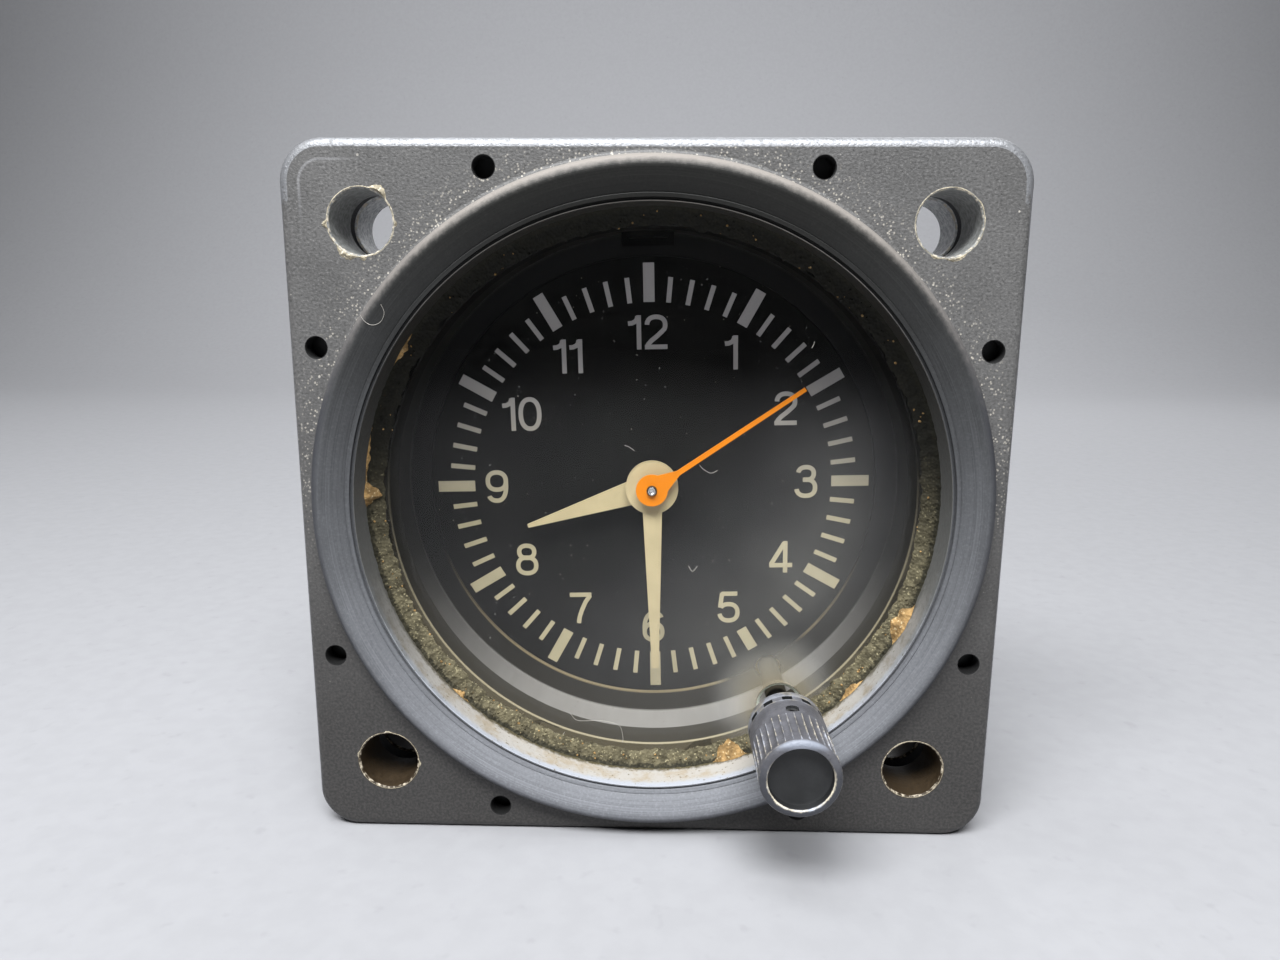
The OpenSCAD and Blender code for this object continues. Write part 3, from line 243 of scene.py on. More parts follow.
def drilled_hole(shape, faces, x, z, y0, y1, r, wear, slot, step=None, n=48, e=rim_round):
    """Hole through a plate, with edges broken by e; step is the depth and radius of its wider rear.
    Its outermost loops join those of the plate's two faces."""
    rounds = [(r + e * 1.3, y0, wear * 0.6)]
    rounds += [(r + inset, y0 + depth, wear) for inset, depth in quarter(e, 4)] + [(r, y0 + e * 2, 0.0)]
    if step:
        depth, wide = step
        rounds += [(r, y0 + depth, 0.0), (wide, y0 + depth, 0.0)]
        r = wide
    rounds += [(r, y1 - e, 0.0), (r + e, y1, 0.0)]
    loops = [shape.circle(size, y, x, z, n, w) for size, y, w in rounds]
    shape.strips(loops, slot)
    for face, loop in zip(faces, (loops[0], loops[-1])):
        face.append(loop)


def square_plate(shape, y0, y1, profile, slots, worn):
    """Square flange with rounded edges and a turned middle. profile runs from the front face's inner circle,
    round through the middle, to the back face's inner circle: (radius, depth, wear, slot of the strip after it).
    Returns the loops of both faces, for filling."""
    edge = [(edge_round + support, 0.0)] + quarter(edge_round, 7)
    rounds = [(i, y0 + d, worn if i <= edge_round and d < edge_round * 0.95 else painted_wear) for i, d in edge]
    rounds += [(0, y1 - back_round, back_wear), (back_round * 0.3, y1 - back_round * 0.3, worn * 0.6),
               (back_round, y1, 0.0), (back_round + support, y1, 0.0)]
    sides = [shape.loop(square_loop(inset, y), wear) for inset, y, wear in rounds]
    # Below the upper corners only the outermost sides are worn; the top edge is real wear and a painted highlight
    for v in sum(sides, []):
        if v.co.z < flange_half - corner_r * 1.05 and abs(v.co.x) < flange_half - edge_round * 0.3:
            v[shape.wear] = min(v[shape.wear], painted_wear)
    shape.strips(sides, slots["flange"])
    turned = [shape.circle(r, y, wear=w) for r, y, w, _ in profile]
    for a, b, (_, _, _, slot) in zip(turned, turned[1:], profile):
        shape.strip(a, b, slot)
    faces = [sides[0], turned[0]], [sides[-1], turned[-1]]
    for sx, sz in CORNERS:
        drilled_hole(shape, faces, sx * mount_at, sz * mount_at, y0, y1, mount_r, mount_wear, slots["hole"])
    return faces


def at_bezel_screws():
    for sx, sz in CORNERS:
        yield sx * screw_along, sz * screw_across
        yield sx * screw_across, sz * screw_along


# Procedural materials
def srgb(*rgb):
    return tuple((c / 255 / 12.92) if c <= 10 else ((c / 255 + 0.055) / 1.055) ** 2.4 for c in rgb)


def tint(colour, share):
    return tuple(min(1.0, c * share) for c in colour)


class Val:
    """A number that a shader node gives out, with arithmetic."""

    def __init__(self, graph, out):
        self.graph, self.out = graph, out

    def op(self, kind, *others):
        return self.graph.math(kind, self, *others)

    def __add__(self, o):
        return self.op("ADD", o)

    def __sub__(self, o):
        return self.op("SUBTRACT", o)

    def __mul__(self, o):
        return self.op("MULTIPLY", o)

    def __truediv__(self, o):
        return self.op("DIVIDE", o)

    def rest(self):
        """What it leaves of one."""
        return self.graph.math("SUBTRACT", 1.0, self)

    def swing(self, size):
        """A noise as a swing about nought, of this size from end to end."""
        return (self - 0.5) * size

    def past(self, at):
        """How far a place lies past a size of the frame."""
        return self - at / MM


class Graph:
    """A material with one Principled shader; colours are linear, sizes are millimetres."""

    def __init__(self, name, shine=0.5, metallic=0.0):
        self.mat = bpy.data.materials.new(name)
        self.mat.use_nodes = True
        self.tree = self.mat.node_tree
        self.shader = self.tree.nodes["Principled BSDF"]
        place = self.node("ShaderNodeTexCoord").outputs["Object"]
        self.point = self.node("ShaderNodeVectorMath", {0: place, "Scale": 1 / MM}, operation="SCALE").outputs[0]
        self.x, self.y, self.z = (self.value("ShaderNodeSeparateXYZ", {0: self.point}, i) for i in range(3))
        self.set("Specular IOR Level", shine)
        self.set("Metallic", metallic)

    def node(self, kind, inputs=None, **props):
        """A new node. inputs holds values by the socket's name or number."""
        n = self.tree.nodes.new(kind)
        for key, value in props.items():
            setattr(n, key, value)
        for key, value in (inputs or {}).items():
            self.feed(n.inputs[key], value)
        return n

    def value(self, kind, inputs=None, out=0, **props):
        return Val(self, self.node(kind, inputs, **props).outputs[out])

    def feed(self, socket, value):
        if isinstance(value, Val):
            value = value.out
        if isinstance(value, bpy.types.NodeSocket):
            self.tree.links.new(value, socket)
        elif socket.type == "RGBA":
            socket.default_value = (*value, 1.0)
        else:
            socket.default_value = value

    def set(self, name, value):
        self.feed(self.shader.inputs[name], value)

    def math(self, kind, *values):
        return self.value("ShaderNodeMath", dict(enumerate(values)), operation=kind)

    def vector(self, x=0.0, y=0.0, z=0.0):
        return self.node("ShaderNodeCombineXYZ", {0: x, 1: y, 2: z}).outputs[0]

    def noise(self, size, detail=3, roughness=0.5, at=None):
        inputs = {"Vector": at or self.point, "Scale": 1 / size, "Detail": detail, "Roughness": roughness}
        return self.value("ShaderNodeTexNoise", inputs, "Fac")

    def brushed(self, across, along):
        """Noise in lines along the depth."""
        return self.noise(1.0, at=self.vector(self.x / across, self.y / along, self.z / across))

    def cells(self, size):
        return self.value("ShaderNodeTexVoronoi", {"Vector": self.point, "Scale": 1 / size}, "Distance")

    def step(self, value, low, high):
        """Nought at low, one at high, smooth between; low may be the greater."""
        return self.value("ShaderNodeMapRange", {0: value, 1: low, 2: high}, interpolation_type="SMOOTHSTEP")

    def mix(self, share, a, b):
        """Colour between a and b."""
        return self.node("ShaderNodeMix", {0: share, 6: a, 7: b}, data_type="RGBA").outputs[2]

    def blend(self, share, a, b):
        """Number between a and b."""
        return self.value("ShaderNodeMix", {0: share, 2: a, 3: b}, data_type="FLOAT")

    def wear(self):
        return self.value("ShaderNodeAttribute", None, "Fac", attribute_name="wear")

    def length(self, a, b):
        return (a * a + b * b).op("SQRT")

    def radius(self, x0=0.0, z0=0.0):
        """Distance from an axis along the depth, at a place of the frame."""
        return self.length(self.x.past(x0), self.z.past(z0))

    def finish(self, colour, by, low, high, height=None, depth=0.0, strength=1.0):
        """The material, with this colour, a roughness from low to high by a pattern, and a bump."""
        self.set("Base Color", colour)
        self.set("Roughness", self.blend(by, low, high))
        if height is not None:
            inputs = {"Strength": strength, "Distance": depth * MM, "Height": height}
            self.set("Normal", self.node("ShaderNodeBump", inputs).outputs[0])
        return self.mat


def worn_paint(name, tone, bare, roughness=0.5, specks=0.25, grain=0.14, sand=0.48, extra=None):
    """Matt paint on metal: cloudy tone, sandy grain, fine specks, bare metal where the wear value is high."""
    g = Graph(name)
    fine = g.noise(1.0, 3, 0.6, g.vector(g.x / (grain * 1.2), g.y / grain, g.z / grain))
    colour = g.mix(g.step(g.noise(6), 0.3, 0.7), tint(tone, 0.88), tint(tone, 1.1))
    colour = g.mix(g.step(fine, 0.5, 0.25) * sand, colour, tint(tone, 0.45))
    colour = g.mix(g.step(fine, 0.52, 0.78) * sand, colour, tint(tone, 1.9))
    dust = g.step(g.cells(0.6), 0.1, 0.04) * g.step(g.noise(1.6, 2), 0.5, 0.72)
    dust = dust.op("MAXIMUM", g.step(g.cells(2.6), 0.05, 0.03) * g.step(g.noise(4, 1), 0.4, 0.55))
    colour = g.mix(dust * specks, colour, srgb(214, 208, 197))
    if extra:
        colour = extra(g, colour)
    worn = g.step(g.wear() + g.noise(0.5, 4, 0.7).swing(1.1), 0.62, 0.86)
    g.set("Metallic", worn * 0.55)
    return g.finish(g.mix(worn, colour, bare), g.step(fine, 0.3, 0.7), roughness - 0.05, roughness + 0.12,
                    fine + g.noise(0.9, 2) * 0.5, 0.065, 0.9)


def plain_paint(name, tone, roughness, grain=0.15, depth=0.01, spread=0.12, shine=0.5, upper=None):
    """Flat paint, print or moulding with a slight mottle and grain. upper is its tone high up, if it differs;
    on the print that greyer tone is painted shade.
    """
    g = Graph(name, shine)
    fine = g.noise(grain, 2)
    colour = g.mix(g.step(g.noise(2.2), 0.3, 0.7), tint(tone, 1 - spread), tint(tone, 1 + spread))
    if upper:
        # Painted shade: a greyer tone high up
        colour = g.mix(g.step(g.z, -4, 12), colour, upper)
    colour = g.mix(g.step(fine, 0.62, 0.8) * 0.3, colour, tint(tone, 0.75))
    return g.finish(colour, fine, roughness - 0.06, roughness + 0.1, fine, depth, 0.5)


def metal(name, tone, roughness, across=0.12, along=3):
    """Metal with fine brushed lines and a slight tarnish."""
    g = Graph(name, metallic=1.0)
    lines = g.brushed(across, along)
    colour = g.mix(g.step(g.noise(3), 0.35, 0.75), tone, tint(tone, 0.72))
    return g.finish(colour, lines, roughness - 0.08, roughness + 0.16, lines, 0.008, 0.5)


def flange_marks(g, colour):
    """Painted shade with some dirt low down, dust at the ring's foot, a faint contour line in the upper left corner."""
    # Darker towards the bottom: painted shade, with some dirt
    shade_and_dirt_low = g.step(g.z + g.noise(9).swing(12), 13, -25)
    shade_and_dirt_tone = g.mix(g.step(g.noise(0.24), 0.34, 0.7), srgb(36, 35, 33), srgb(64, 61, 59))
    colour = g.mix(shade_and_dirt_low * 0.85, colour, shade_and_dirt_tone)
    foot = g.step(g.radius().past(ring_r), 3.6, 0.0) * g.step(g.z, -8, 10)
    grit = g.step(g.cells(0.3), 0.36, 0.16) * g.step(g.noise(0.9), 0.38, 0.56)
    colour = g.mix(foot * grit * 0.75, colour, srgb(207, 200, 187))
    qx, qz = (v.op("ABSOLUTE").past(flange_half - corner_r) for v in (g.x, g.z))
    in_corner = g.step(qx.op("MINIMUM", qz), -4, 0.5)
    away = g.length(qx.op("MAXIMUM", 0.0), qz.op("MAXIMUM", 0.0))
    line = g.step((away.past(corner_r) + 1.75).op("ABSOLUTE"), 0.18, 0.03) * in_corner
    upper_left = g.step(g.z, -10, 10) * g.step(g.x, 10, -10)
    return g.mix(line * upper_left * 0.25, colour, srgb(185, 185, 188))


def ring_finish():
    """Turned face of the ring: bluish grey paint with concentric lines, painted sheen low down and painted shade high
    up.
    """
    g = Graph("ring_paint", 0.25)
    r = g.radius()
    lines = g.noise(1.0, 3, 0.65, g.vector(r / 0.09, g.noise(9, 1) * 2.5))
    broad = g.noise(1.0, 1, at=g.vector(r / 0.5, 3.0))
    fine = g.noise(0.2, 2)
    painted_light_low = g.step(g.z + g.noise(6).swing(8), 27, -44)
    # dark is the painted shade high up, light the painted sheen low down
    dark, light = srgb(31, 31, 29), srgb(140, 142, 147)
    colour = g.mix(painted_light_low, dark, light)
    # Pattern, where it begins and is full, its share, its tint of the dark and of the light tone
    for by, low, high, share, on_dark, on_light in (
            (lines, 0.5, 0.28, 0.65, 0.5, 0.55), (lines, 0.5, 0.72, 0.55, 1.6, 1.5), (broad, 0.35, 0.65, 0.3, 0.8, 0.7),
            (fine, 0.52, 0.72, 0.26, 1.8, 1.6), (fine, 0.48, 0.3, 0.26, 0.6, 0.6)):
        colour = g.mix(g.step(by, low, high) * share, colour, g.mix(painted_light_low, tint(dark, on_dark), tint(light, on_light)))
    scuff = g.noise(0.7, 4, 0.7)
    # The worn rounding goes from dark low down to pale at the top: a painted highlight where light from above falls
    edge = g.mix(g.step(g.z + scuff.swing(8), 6, 28), srgb(64, 65, 69), srgb(144, 138, 132))
    colour = g.mix(g.step(g.wear() + scuff.swing(0.3), 0.12, 0.6), colour, edge)
    return g.finish(colour, lines, 0.42, 0.62, lines + fine * 0.5, 0.03, 0.7)


def bore_finish():
    """Bare bore of the ring: pale metal with old cream sealant, chipped towards the bead; dark higher up, partly paint,
    partly painted shade.
    """
    g = Graph("bore_bare", 0.3)
    flakes = g.noise(0.5, 4, 0.7)
    clouds = g.noise(2.2)
    colour = g.mix(g.step(clouds + flakes.swing(0.5), 0.45, 0.7), srgb(176, 172, 166), srgb(166, 155, 138))
    front = g.step(g.y.past(ring_front) + flakes.swing(0.8), 1.6, 0.9)
    colour = g.mix(front, colour, srgb(173, 177, 185))
    by_bead = g.step(g.y.past(seal_low.y) + flakes.swing(1.3), -0.7, -0.1)
    colour = g.mix(by_bead, colour, srgb(83, 76, 54))
    colour = g.mix(g.step(g.noise(0.25, 2), 0.64, 0.74), colour, srgb(115, 108, 91))
    # Dark higher up: partly paint, partly painted shade; the grey darkens towards the top as painted shade
    painted = g.step(g.z + clouds.swing(9) + flakes.swing(5), -23, -3)
    grey = g.mix(g.step(g.z, 16, -4), srgb(32, 32, 30), srgb(105, 106, 105))
    colour = g.mix(painted, colour, g.mix(flakes * 0.4, grey, srgb(74, 71, 64)))
    return g.finish(colour, flakes, 0.45, 0.75, flakes, 0.08, 0.8)


def hole_finish(name, tone):
    """Wall of a panel-screw hole: scraped grey, brown dirt in the lower pair, cream where the rim is worn."""
    g = Graph(name)
    spots = g.noise(0.35, 3, 0.65)
    colour = g.mix(g.step(spots, 0.3, 0.7), tint(tone, 0.55), tint(tone, 1.25))
    dirt = g.mix(spots, srgb(28, 21, 11), srgb(72, 55, 31))
    colour = g.mix(g.step(g.z, 4, -8) * 0.98, colour, dirt)
    worn = g.step(g.wear() + g.noise(0.4).swing(0.8), 0.5, 0.7)
    return g.finish(g.mix(worn * 0.8, colour, srgb(237, 224, 200)), spots, 0.4, 0.7, spots, 0.05, 0.6)


def sealant(name, tone, light, share, dark=0.0):
    """Crumbly sealant. dark is how far its upper half is darkened, as painted shade."""
    g = Graph(name, 0.2)
    clouds = g.noise(0.9)
    colour = g.mix(g.step(clouds, 0.35, 0.65), tint(tone, 0.55), tint(tone, 1.25))
    colour = g.mix(g.step(g.noise(0.22), 0.58, 0.7) * share, colour, light)
    if dark:
        # Painted shade on the upper half
        colour = g.mix(g.step(g.z + clouds.swing(8), -8, 6) * dark, colour, srgb(19, 19, 15))
        crust = g.step(g.radius().past(bore_r) + g.noise(0.3).swing(0.9), -0.45, -0.15)
        colour = g.mix(crust * 0.85, colour, srgb(32, 31, 23))
    return g.finish(colour, clouds, 0.6, 0.85, g.cells(0.28) + clouds, 0.12, 0.8)


def knob_finish():
    """Grey knob with worn edges, less on the collar; painted shade low on the front rim, a painted highlight on its
    top.
    """
    g = Graph("knob_paint")
    fine = g.noise(0.25)
    cloud = g.noise(1.5)
    tone = srgb(92, 92, 97)
    colour = g.mix(g.step(cloud, 0.3, 0.7), tint(tone, 0.75), tint(tone, 1.2))
    colour = g.mix(g.step(fine, 0.6, 0.75) * 0.4, colour, tint(tone, 0.4))
    front = g.step(g.y.past(knob_low.y), 0.4, 0.15)
    under = g.step(g.z.past(stem_z), 2.2, -0.6)
    # Painted shade on the lower front rim
    colour = g.mix(front * under * 0.75, colour, srgb(44, 47, 54))
    worn = g.step(g.wear() + g.noise(0.6, 4, 0.7).swing(0.9), 0.5, 1.0)
    worn = worn * (front * under.rest()).rest()
    worn = worn * g.blend(g.step(g.y.past(knob_high.y), -2.2, -1.8), 1.0, 0.3)
    colour = g.mix(worn, colour, g.mix(g.step(cloud, 0.42, 0.6), srgb(241, 230, 205), srgb(210, 215, 227)))
    glint = front * g.step(g.z.past(stem_z), 2.3, 3.0)
    colour = g.mix(glint * 0.5, colour, srgb(170, 178, 194))
    return g.finish(colour, fine, 0.42, 0.62, fine + cloud, 0.07, 0.8)


def glass_finish():
    """Coated clear glass: faint shine by angle over a clear sheet, dust, a ground rim at the stem, and low down and
    to the right a pale dusty layer that is partly a painted reflection.
    """
    g = Graph("glass")
    edge_on = g.value("ShaderNodeLayerWeight", None, "Facing")
    clear = edge_on.op("POWER", 5.0) * 0.9 + 0.01
    grit = g.step(g.cells(0.9), 0.09, 0.05) * g.step(g.noise(2.5, 2), 0.3, 0.7)
    grit = grit.op("MAXIMUM", g.step(g.cells(2.3), 0.05, 0.03) * g.step(g.noise(3, 1), 0.4, 0.6))
    # A pale layer low down and to the right: partly dust, partly a painted reflection
    low = g.step(g.z + g.noise(9).swing(9) - g.x * 0.12, 3, -12)
    right = g.step(g.x * 0.8 - g.z * 0.5 + g.noise(12, 2).swing(10), -2, 24)
    smear = g.noise(5, 4, 0.65) * 0.7 + 0.4
    film_and_reflection = smear * (low * 0.012 + right * g.step(g.radius(), 24, 14) * 0.075)
    by_stem = g.radius(stem_x, stem_z)
    haze = g.step(by_stem + (smear - 0.75) * 4, 7, 1.0) * 0.26
    ground = g.step(by_stem.past(stem_r), 1.14, 1.04) * g.step(g.y.past(glass_low.y), 0.8, 0.5)
    g.set("Alpha", (clear + grit * 0.12 + film_and_reflection + haze + ground * 0.8).op("MINIMUM", 1.0))
    milky = (grit + film_and_reflection * 14.0 + haze * 4.0 + ground).op("MINIMUM", 1.0)
    g.set("Metallic", milky.rest())
    dust = g.mix((haze * 3.8).op("MINIMUM", 1.0), srgb(248, 246, 237), srgb(185, 173, 144))
    colour = g.mix(milky, (1.0, 1.0, 1.0), dust)
    return g.finish(g.mix(ground, colour, srgb(242, 248, 231)), milky, 0.03, 0.6)


def mask_finish():
    """Moulded ring in the well: satin wall and a matt black margin, both paler low down as painted light, and a
    painted highlight on the margin's inner edge low down.
    """
    g = Graph("mask_black", 0.2)
    r = g.radius()
    wall = g.step(r.past(well_r), -0.25, -0.05)
    streak = g.brushed(1.2, 6)
    fine = g.noise(0.2, 2)
    # Paler low down: painted light on the wall and the margin
    low = g.step(g.z, -5, -27)
    satin = g.mix(low, g.mix(streak, srgb(30, 30, 28), srgb(44, 43, 40)),
                  g.mix(streak, srgb(150, 147, 141), srgb(168, 165, 160)))
    black = g.mix(low, srgb(16, 16, 15), srgb(45, 42, 34))
    black = g.mix(g.step(fine, 0.6, 0.75) * 0.4, black, g.mix(low, srgb(36, 35, 32), srgb(74, 69, 58)))
    # Painted highlight on the margin's inner edge, low down and away from the stem
    lip = g.step((r.past(dial_open) - 0.05).op("ABSOLUTE"), 0.09, 0.05) * g.step(g.z, -6, -20)
    lip = lip * g.step(g.radius(stem_x, stem_z), 3.5, 6)
    black = g.mix(lip * 0.85, black, srgb(150, 136, 104))
    return g.finish(g.mix(wall, black, satin), wall, 0.62, 0.42, fine, 0.01, 0.4)


def well_finish():
    """Spigot's wall and the seat of the glass: thin dark paint with fine specks, lighter low down as painted light;
    the seat is paler there too as painted light, and a worn rim shows only low down.
    """
    g = Graph("well_paint", 0.25)
    fine = g.noise(0.25)
    # Lighter towards the bottom: painted light
    low = g.step(g.z + g.noise(3, 2).swing(4), 6, -24)
    colour = g.mix(low, srgb(22, 22, 20), srgb(68, 65, 58))
    colour = g.mix(g.step(fine, 0.58, 0.75) * 0.5, colour, g.mix(low, srgb(36, 35, 32), srgb(106, 100, 84)))
    # The seat is paler low down as painted light, against the bead's shadow
    seat = g.step(g.y.past(glass_high.y), 0.3, 0.1)
    colour = g.mix(seat * low * 0.9, colour, srgb(110, 102, 82))
    rim = g.step(g.wear() + fine.swing(0.5), 0.35, 0.8) * low
    return g.finish(g.mix(rim, colour, srgb(166, 156, 128)), fine, 0.45, 0.65, fine, 0.02, 0.5)


def stem_finish():
    """Oiled dark stem, dusty where it runs behind the glass."""
    g = Graph("stem_black", 0.2)
    fine = g.noise(0.2)
    behind = g.step(g.y.past(glass_high.y), -0.3, 0.3)
    colour = g.mix(behind, srgb(16, 15, 13), srgb(72, 68, 58))
    colour = g.mix(g.step(fine, 0.58, 0.75) * 0.5, colour, srgb(70, 44, 30))
    return g.finish(colour, fine, 0.5, 0.7)


def screw_finish():
    """Steel screws whose front ends, inside the tapped holes, are black as painted shade."""
    g = Graph("screw_shaded_tips")
    steel_behind_flange = g.step(g.y.past(flange_back), 0.0, 1.0)
    g.set("Metallic", steel_behind_flange)
    colour = g.mix(steel_behind_flange, srgb(5, 5, 5), (0.52, 0.52, 0.53))
    return g.finish(colour, g.brushed(0.12, 3), 0.28, 0.5)


def dial_finish():
    """Matt black dial with a few specks of dust."""
    g = Graph("dial_black", 0.12)
    fine = g.noise(0.18, 2)
    dust = g.step(g.cells(0.9), 0.09, 0.05) * g.step(g.noise(1.1, 1), 0.4, 0.7)
    colour = g.mix(g.step(g.noise(6), 0.3, 0.7), srgb(15, 15, 14), srgb(22, 22, 20))
    colour = g.mix(dust * 0.6, colour, srgb(150, 146, 136))
    return g.finish(colour, fine, 0.55, 0.75, fine, 0.012, 0.5)


# Tone, roughness, grain, depth of the grain, spread of the tone, shine, tone high up (painted shade on the print)
paints = {
    "rubber": (srgb(44, 43, 42), 0.8, 0.3, 0.02),
    "black_plastic": (srgb(52, 52, 52), 0.5, 0.12),
    "cream_print": (srgb(184, 174, 142), 0.6, 0.1, 0.005, 0.06, 0.15, srgb(183, 180, 178)),
    "cream_paint": (srgb(196, 181, 141), 0.55, 0.25, 0.012, 0.05, 0.15),
    "orange_paint": (srgb(230, 132, 0), 0.5, 0.2, 0.01, 0.04, 0.15),
    "white_plastic": (srgb(226, 222, 208), 0.45),
    "board_green": (srgb(36, 92, 56), 0.4, 0.4),
    "blue_sleeve": (srgb(38, 52, 104), 0.3),
    "magnet": (srgb(98, 98, 102), 0.5),
    # tapped_hole is near black as painted shade inside the small tapped holes
    "tapped_hole": (srgb(6, 6, 6), 0.8),
    # knob_recess is the knob's dark recess, and painted shade in its slots, set-screw hole and bore
    "knob_recess": (srgb(34, 35, 36), 0.5, 0.3, 0.03, 0.25),
    "bush_dark": (srgb(58, 40, 24), 0.5),
    "fibre_grey": (srgb(176, 172, 164), 0.7, 0.1),
    "floor_paint": (srgb(161, 161, 164), 0.85, 2, 0.02, 0.02),
}
# Linear tone, roughness, width and length of the brushed lines
metals = {
    "brass": ((0.72, 0.53, 0.22), 0.32),
    "bronze": ((0.55, 0.33, 0.15), 0.35),
    "copper": ((0.62, 0.26, 0.12), 0.34, 0.1, 0.1),
    "bare_aluminium": ((0.62, 0.62, 0.63), 0.38),
    "soft_iron": ((0.4, 0.4, 0.41), 0.45),
    "tin_can": ((0.74, 0.74, 0.74), 0.2),
    "steel": ((0.52, 0.52, 0.53), 0.3),
}
finishes = {name: plain_paint(name, *look) for name, look in paints.items()}
finishes.update({name: metal(name, *look) for name, look in metals.items()})
finishes["body_paint"] = case_paint = worn_paint("case_paint", srgb(83, 83, 85), srgb(243, 244, 248), 0.5, 0.2)
finishes["knob_paint"] = knob_finish()
finishes["glass"] = glass_finish()
finishes["sealant"] = sealant("sealant", srgb(100, 94, 74), srgb(188, 178, 142), 0.6, 0.97)
finishes["dial_black"] = dial_finish()
special = {"mask_ring": mask_finish(), "stem": stem_finish(), "bezel_screws": screw_finish()}
flange_paint = worn_paint("body_paint", srgb(94, 93, 92), srgb(147, 148, 151), 0.44, 0.7, 0.2, 0.88, flange_marks)
hole_paint = hole_finish("hole_wall", srgb(132, 133, 131))
# The far hole's wall is nearly white as painted light, since the lamps barely reach into the hole
far_hole = hole_finish("far_hole_wall", srgb(242, 244, 248))
tan_chip = sealant("tan_chip", srgb(166, 134, 88), srgb(229, 209, 166), 0.6)
torn_metal = sealant("torn_metal", srgb(176, 166, 144), srgb(248, 240, 221), 0.75)
slot_of = {p["node"]: p["material_slot"] for p in frame["record"]["subparts"]}
for name, obj in frame["nodes"].items():
    obj.data.materials.clear()
    obj.data.materials.append(special.get(name) or finishes[slot_of[name]])

# Bezel: square flange, dished ring with a turned groove, bore, lip and spigot
FLANGE, RING, BORE, HOLE, TAP, WELL = range(6)
bezel = Shape("bezel_body")
shoulder = ring_r - ring_round
slope = ring_dish / (shoulder - bore_r)
bore_edge = 0.05 * MM
seat_edge = 0.1 * MM
seat_flat = 0.25 * MM
spigot_edge = 0.2 * MM
bore_steps = 12
ring_wear = (0.6, 0.7, 0.7, 0.65, 0.55, 0.42, 0.3, 0.18, 0.1)


def ring_face(r):
    return ring_front + (shoulder - r) * slope


bore_front = ring_face(bore_r)
seat_y = glass_high.y
groove_in, groove_out = groove_at
profile = [(ring_r + foot_fillet + support, 0.0, 0.0, FLANGE)]
profile += [(r, y, 0.0, FLANGE) for r, y in arc(ring_r + foot_fillet, -foot_fillet, foot_fillet, 90, 180, 4)[:-1]]
profile += [(ring_r, -foot_fillet, ring_wear[0], RING)]
rounded = arc(shoulder, ring_front + ring_round, ring_round, 0, -90, len(ring_wear) - 1)
profile += [(r, y, wear, RING) for (r, y), wear in zip(rounded, ring_wear)]
profile += [(r, ring_face(r) + sunk, 0.0, RING) for r, sunk in (
    (shoulder - line_half, 0.0), (line_at + line_half, 0.0), (line_at, line_depth), (line_at - line_half, 0.0))]
profile += [(groove_out, ring_face(groove_out), 0.06, RING),
            (groove_out - groove_draft, ring_face(groove_out) + groove_depth, 0.0, RING),
            (groove_in + groove_draft, ring_face(groove_in) + groove_depth, 0.0, RING),
            (groove_in, ring_face(groove_in), 0.06, RING),
            (bore_r + bore_edge, bore_front, 0.7, BORE), (bore_r, bore_front + bore_edge, 0.8, BORE)]
profile += [(bore_r, bore_front + (seat_y - bore_front) * i / bore_steps, 0.0, BORE) for i in range(1, bore_steps)]
profile += [(r, y, wear, WELL) for r, y, wear in (
    (bore_r, seat_y, 0.0), (well_r + seat_flat, seat_y, 0.0), (well_r + seat_edge, seat_y, 0.8),
    (well_r, seat_y + seat_edge, 0.8), (well_r, seat_y + seat_flat, 0.0))]
profile += [(r, y, 0.0, FLANGE) for r, y in (
    (well_r, spigot_end), (stack_r - spigot_edge, spigot_end), (stack_r, spigot_end - spigot_edge),
    (stack_r, flange_back))]
faces = square_plate(bezel, 0.0, flange_back, profile, {"flange": FLANGE, "hole": HOLE}, 0.9)
for x, z in at_bezel_screws():
    drilled_hole(bezel, faces, x, z, 0.0, flange_back, tap_r, 0.0, TAP, (tap_depth, tap_wide), 40, tap_round)
for face in faces:
    bezel.fill(face, FLANGE)
bezel.done([flange_paint, ring_finish(), bore_finish(), hole_paint, finishes["tapped_hole"], well_finish()],
           ["bezel"])

# Case: second flange and round can with a rounded rear edge
CAN, FAR_HOLE = range(2)
case = Shape("case_body")
case_back = screws_high.y - screw_head_t
can_end = case_high.y
can_round = 0.5 * MM
can_foot = 0.7 * MM
ledge_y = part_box("front_plate")[1].y
pocket_r = stack_r + 0.2 * MM
can_in = stack_r - 0.5 * MM
collar_in = can_r - 4 * MM
collar_y = can_end - 6 * MM
profile = [(r, y, 0.0, CAN) for r, y in (
    (pocket_r, case_low.y), (pocket_r, ledge_y), (can_in, ledge_y), (can_in, collar_y), (collar_in, collar_y),
    (collar_in, can_end), (can_r - can_round - support, can_end))]
profile += [(r, y, 0.5, CAN) for r, y in arc(can_r - can_round, can_end - can_round, can_round, 90, 0, 5)]
profile += [(can_r, can_end + (case_back - can_end) * s, 0.0, CAN) for s in (0.25, 0.5, 0.75)]
profile += [(r, y, painted_wear, CAN) for r, y in arc(can_r + can_foot, case_back + can_foot, can_foot, 180, 270, 5)]
profile += [(can_r + can_foot + support, case_back, 0.0, CAN)]
for face in square_plate(case, case_low.y, case_back, profile, {"flange": CAN, "hole": FAR_HOLE}, 0.3):
    case.fill(face, CAN)
case.done([case_paint, far_hole], ["case"])

